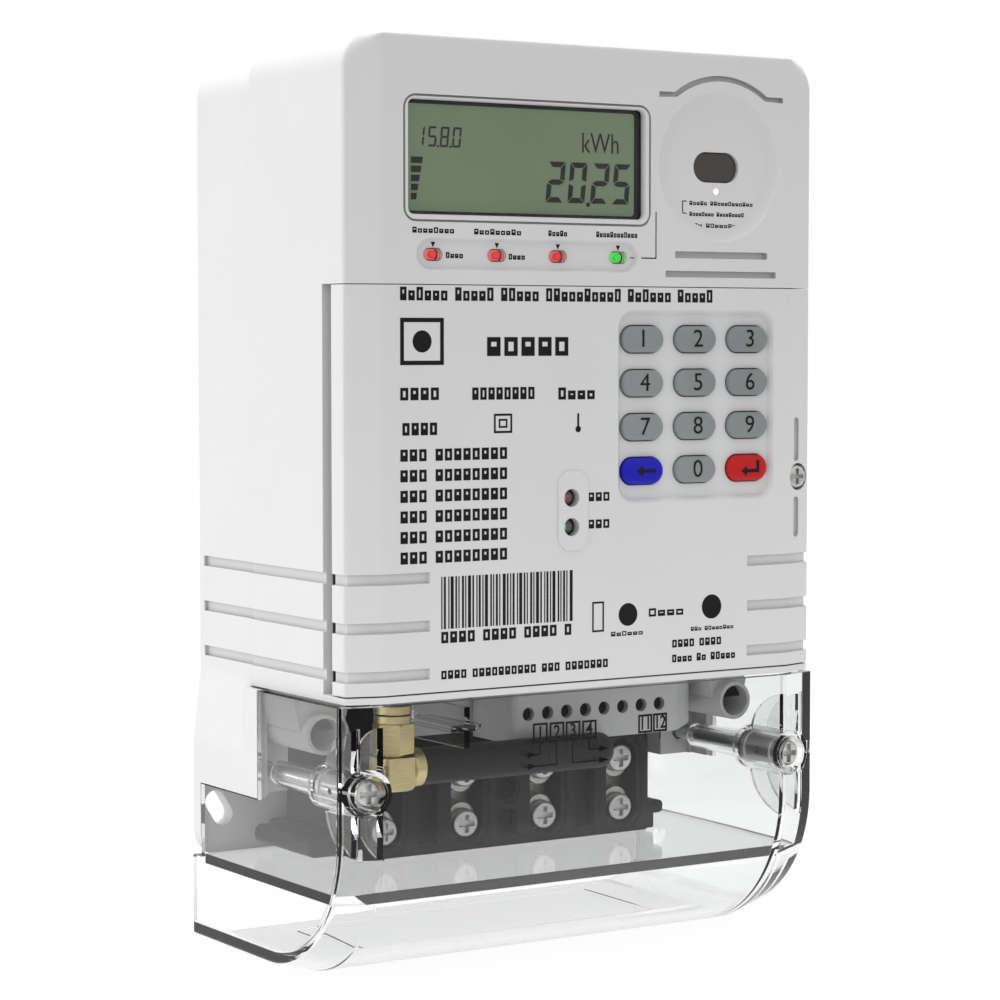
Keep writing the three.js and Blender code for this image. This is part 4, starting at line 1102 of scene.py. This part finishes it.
FINISHES = {
    "main_board": board_green,
    "keypad_board": board_green,
    "display_backlight": guide_white,
    "backup_battery": battery_blue,
    "latching_relay": relay_blue,
    "buzzer": sounder_black,
    "case_gasket": seal_dark,
    "keypad_membrane": mat_grey,
    "comm_module": module_grey,
    "current_shunt": copper,
}
for name, material in FINISHES.items():
    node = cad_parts[name]
    node.data.materials.clear()
    node.data.materials.append(material)

# ---------------------------------------------------------------- printing
# Plain marks in black ink stand where a rating plate has its words: rows of short
# blocks of unequal height, a square symbol, a bar pattern and terminal numbers.
def framed(x0, x1, z0, z1, line):
    """Four strips that make a square outline."""
    return [
        [(x0, z0), (x1, z0), (x1, z0 + line), (x0, z0 + line)],
        [(x0, z1 - line), (x1, z1 - line), (x1, z1), (x0, z1)],
        [(x0, z0 + line), (x0 + line, z0 + line), (x0 + line, z1 - line), (x0, z1 - line)],
        [(x1 - line, z0 + line), (x1, z0 + line), (x1, z1 - line), (x1 - line, z1 - line)],
    ]


def greeked(letters, x0, x1, z, height, low=0.74):
    """A row of upright blocks, some of them hollow, grouped like words from x0 to x1."""
    pitch = (x1 - x0) / (sum(letters) + 0.75 * (len(letters) - 1))
    line = min(pitch * 0.29, height * 0.25)
    shapes = []
    x = x0
    for w, length in enumerate(letters):
        for k in range(length):
            pattern = k * 5 + w * 3 + length
            tall = height * (1.0 if k == 0 or pattern % 4 == 0 else low)
            far = x + pitch * 0.78
            shapes += framed(x, far, z, z + tall, line)
            if pattern % 3 != 1:
                shapes.append([(x + line, z + line), (far - line, z + line), (far - line, z + tall / 2),
                               (x + line, z + tall / 2)])
            x += pitch
        x += pitch * 0.75
    return shapes


FACE_PRINT = FRONT - 0.03
rows = greeked((6, 5, 5, 10, 6, 5), -48.9, 32.0, 44.4, 2.8)
rows += greeked((4,), -48.9, -39.0, 23.7, 2.6, 1)
rows += greeked((8,), -31.3, -15.2, 23.6, 2.6, 1)
rows += greeked((4,), -9.5, 0.5, 23.4, 2.6)
rows += greeked((4,), -48.4, -39.5, 16.4, 2.6, 1)
for k in range(6):
    rows += greeked((3, 8), -48.9, -22.1, 11.0 - k * 4.28, 2.5, 1)
rows += greeked((3,), -1.7, 4.3, 1.3, 1.9, 1)
rows += greeked((3,), -1.7, 4.3, -4.6, 1.9, 1)
rows += greeked((4, 4, 4, 1), -39.0, -5.6, -27.4, 2.4, 1)
rows += greeked((4, 10, 3, 7), -39.0, 3.9, -35.0, 1.8, 1)
rows += greeked((4, 4), 20.9, 34.7, -31.8, 1.7, 1)
rows += greeked((4, 2, 5), 20.9, 38.6, -35.1, 1.7)
rows += greeked((5,), -27.6, -6.0, 32.8, 4.0, 1)
bars = []
x = -39.0
k = 0
while x < -6.2:
    wide = (0.28, 0.5, 0.28, 0.75, 0.4)[k % 5]
    bars.append([(x, -24.4), (x + wide, -24.4), (x + wide, -13.4), (x, -13.4)])
    x += wide + (0.35, 0.6, 0.3, 0.42)[k % 4]
    k += 1
symbols = framed(-25.9, -21.3, 16.5, 20.6, 0.45) + framed(-24.7, -22.5, 17.6, 19.5, 0.4)
symbols += framed(-48.9, -38.3, 31.0, 40.8, 0.9) + [pill(-43.6, 35.9, 4.6, 4.6, 8)]
symbols.append([(-4.6, 17.4), (-4.1, 17.4), (-4.1, 20.4), (-4.6, 20.4)])
symbols.append(pill(-4.35, 17.0, 1.4, 1.4, 6))
symbols += framed(-0.6, 2.5, -27.2, -20.6, 0.4)
symbols += [pill(8.9, -23.8, 5.0, 5.0, 8), pill(31.7, -23.2, 5.4, 5.4, 8)]
symbols += greeked((6,), 4.4, 13.2, -28.4, 1.0) + greeked((4,), 14.5, 24.4, -24.6, 1.8)
symbols += greeked((3, 8), 26.0, 38.0, -28.4, 0.9)
printed("door_print", rows + bars + symbols, FACE_PRINT, ink, "door")

top_marks = greeked((8,), -45.9, -35.5, 58.4, 1.2) + greeked((9,), -30.8, -18.8, 58.3, 1.2)
top_marks += greeked((5,), -12.1, -7.1, 58.3, 1.2) + greeked((12,), 0.3, 11.3, 58.3, 1.2)
top_marks.append([(16.0, 54.0), (16.25, 54.0), (16.25, 64.1), (16.0, 64.1)])
top_marks.append([(12.2, 53.85), (16.25, 53.85), (16.25, 54.1), (12.2, 54.1)])
printed("case_print", top_marks, FACE_PRINT, ink, "meter")
lamp_marks = greeked((4,), -37.2, -32.8, 53.3, 1.2) + greeked((4,), -21.6, -17.3, 53.2, 1.2)
for x in LAMP_X:
    lamp_marks.append([(x - 0.55, 56.6), (x + 0.55, 56.6), (x, 55.5)])
lamp_marks.append([(9.8, 53.9), (10.9, 53.9), (10.9, 54.1), (9.8, 54.1)])
printed("lamp_print", lamp_marks, FRONT + 0.86, ink, "meter")
port_marks = greeked((5, 12), 26.2, 43.9, 65.9, 0.9) + greeked((8, 9), 26.2, 41.4, 63.5, 0.9)
port_marks += greeked((3, 8), 26.2, 40.6, 61.0, 0.9)
port_marks += [[(24.2, 61.3), (24.45, 61.3), (24.45, 66.8), (24.2, 66.8)]]
for z in (61.3, 63.95, 66.6):
    port_marks.append([(24.2, z), (25.4, z), (25.4, z + 0.22), (24.2, z + 0.22)])
printed("port_print", port_marks, FRONT + 1.37, ink, "meter")

COVER_PRINT = FRONT - 0.05
cover_marks = []
for i, x in enumerate((-14.1, -9.8, -5.6, -1.3)):
    cover_marks += framed(x - 1.9, x + 1.9, -50.4, -46.0 - 0.1 * i, 0.48)
    name = f"pole_number_{i + 1}"
    lettered(name, str(i + 1), 4.0, x, COVER_PRINT, -48.3, ink, "cover", 0.9, -0.07)
for x, mark in ((13.6, "11"), (17.6, "12")):
    cover_marks += framed(x - 1.9, x + 1.9, -50.2, -46.1, 0.48)
    name = f"pole_number_{mark}"
    lettered(name, mark, 4.0, x, COVER_PRINT, -48.2, ink, "cover", 0.8, -0.07)
# lines from the pole numbers down and along to the supply and load arrows
for x0, x1, z0, z1 in (
    (-14.3, -14.0, -52.9, -50.4), (-18.2, -14.0, -52.9, -52.6), (-10.0, -9.7, -55.4, -50.4),
    (-18.2, -9.7, -55.4, -55.1), (-1.5, -1.2, -52.9, -50.4), (-1.5, 3.6, -52.9, -52.6),
    (-5.8, -5.5, -55.4, -50.4), (-5.8, 3.6, -55.4, -55.1), (13.45, 13.75, -51.9, -50.2),
    (17.45, 17.75, -51.9, -50.2),
):
    cover_marks.append([(x0, z0), (x1, z0), (x1, z1), (x0, z1)])
for x, z in ((-16.4, -52.75), (-16.4, -55.25), (2.2, -52.75), (2.2, -55.25)):
    cover_marks.append([(x - 0.9, z + 0.75), (x - 0.9, z - 0.75), (x + 1.3, z)])
printed("cover_print", cover_marks, COVER_PRINT, ink, "cover")

# ---------------------------------------------------------------- floor and close
# A plain pale floor under the meter, which isn't part of it. Its brightness is a painted pool of light: the
# floor glows, which also keeps the meter's shadow on it faint.
floor_bm = bmesh.new()
bmesh.ops.create_grid(floor_bm, x_segments=1, y_segments=1, size=3)
bmesh.ops.translate(floor_bm, verts=floor_bm.verts, vec=(0, 0, -0.1013))
floor = made("floor", floor_bm)
pale = moulded(
    "floor_pale", (0.11, 0.11, 0.11), (0.13, 0.13, 0.13), (0.8, 0.9), 60, 0.0,
    {"Specular IOR Level": 0.0, "Emission Strength": 1.0},
)
# painted pool of light: the floor's own glow, bright under the meter, fades out ahead of it
pale_nodes, pale_links = pale.node_tree.nodes, pale.node_tree.links
where = pale_nodes.new("ShaderNodeTexCoord")
parts = pale_nodes.new("ShaderNodeSeparateXYZ")
painted_light_fade = pale_nodes.new("ShaderNodeMapRange")
painted_light_fade.inputs["From Min"].default_value = -0.42
painted_light_fade.inputs["From Max"].default_value = -0.17
painted_light_fade.inputs["To Min"].default_value = 0.05
painted_light_fade.inputs["To Max"].default_value = 0.95
pale_links.new(where.outputs["Object"], parts.inputs[0])
pale_links.new(parts.outputs["Y"], painted_light_fade.inputs["Value"])
pale_links.new(painted_light_fade.outputs["Result"], pale_nodes["Principled BSDF"].inputs["Emission Color"])
floor.data.materials.append(pale)
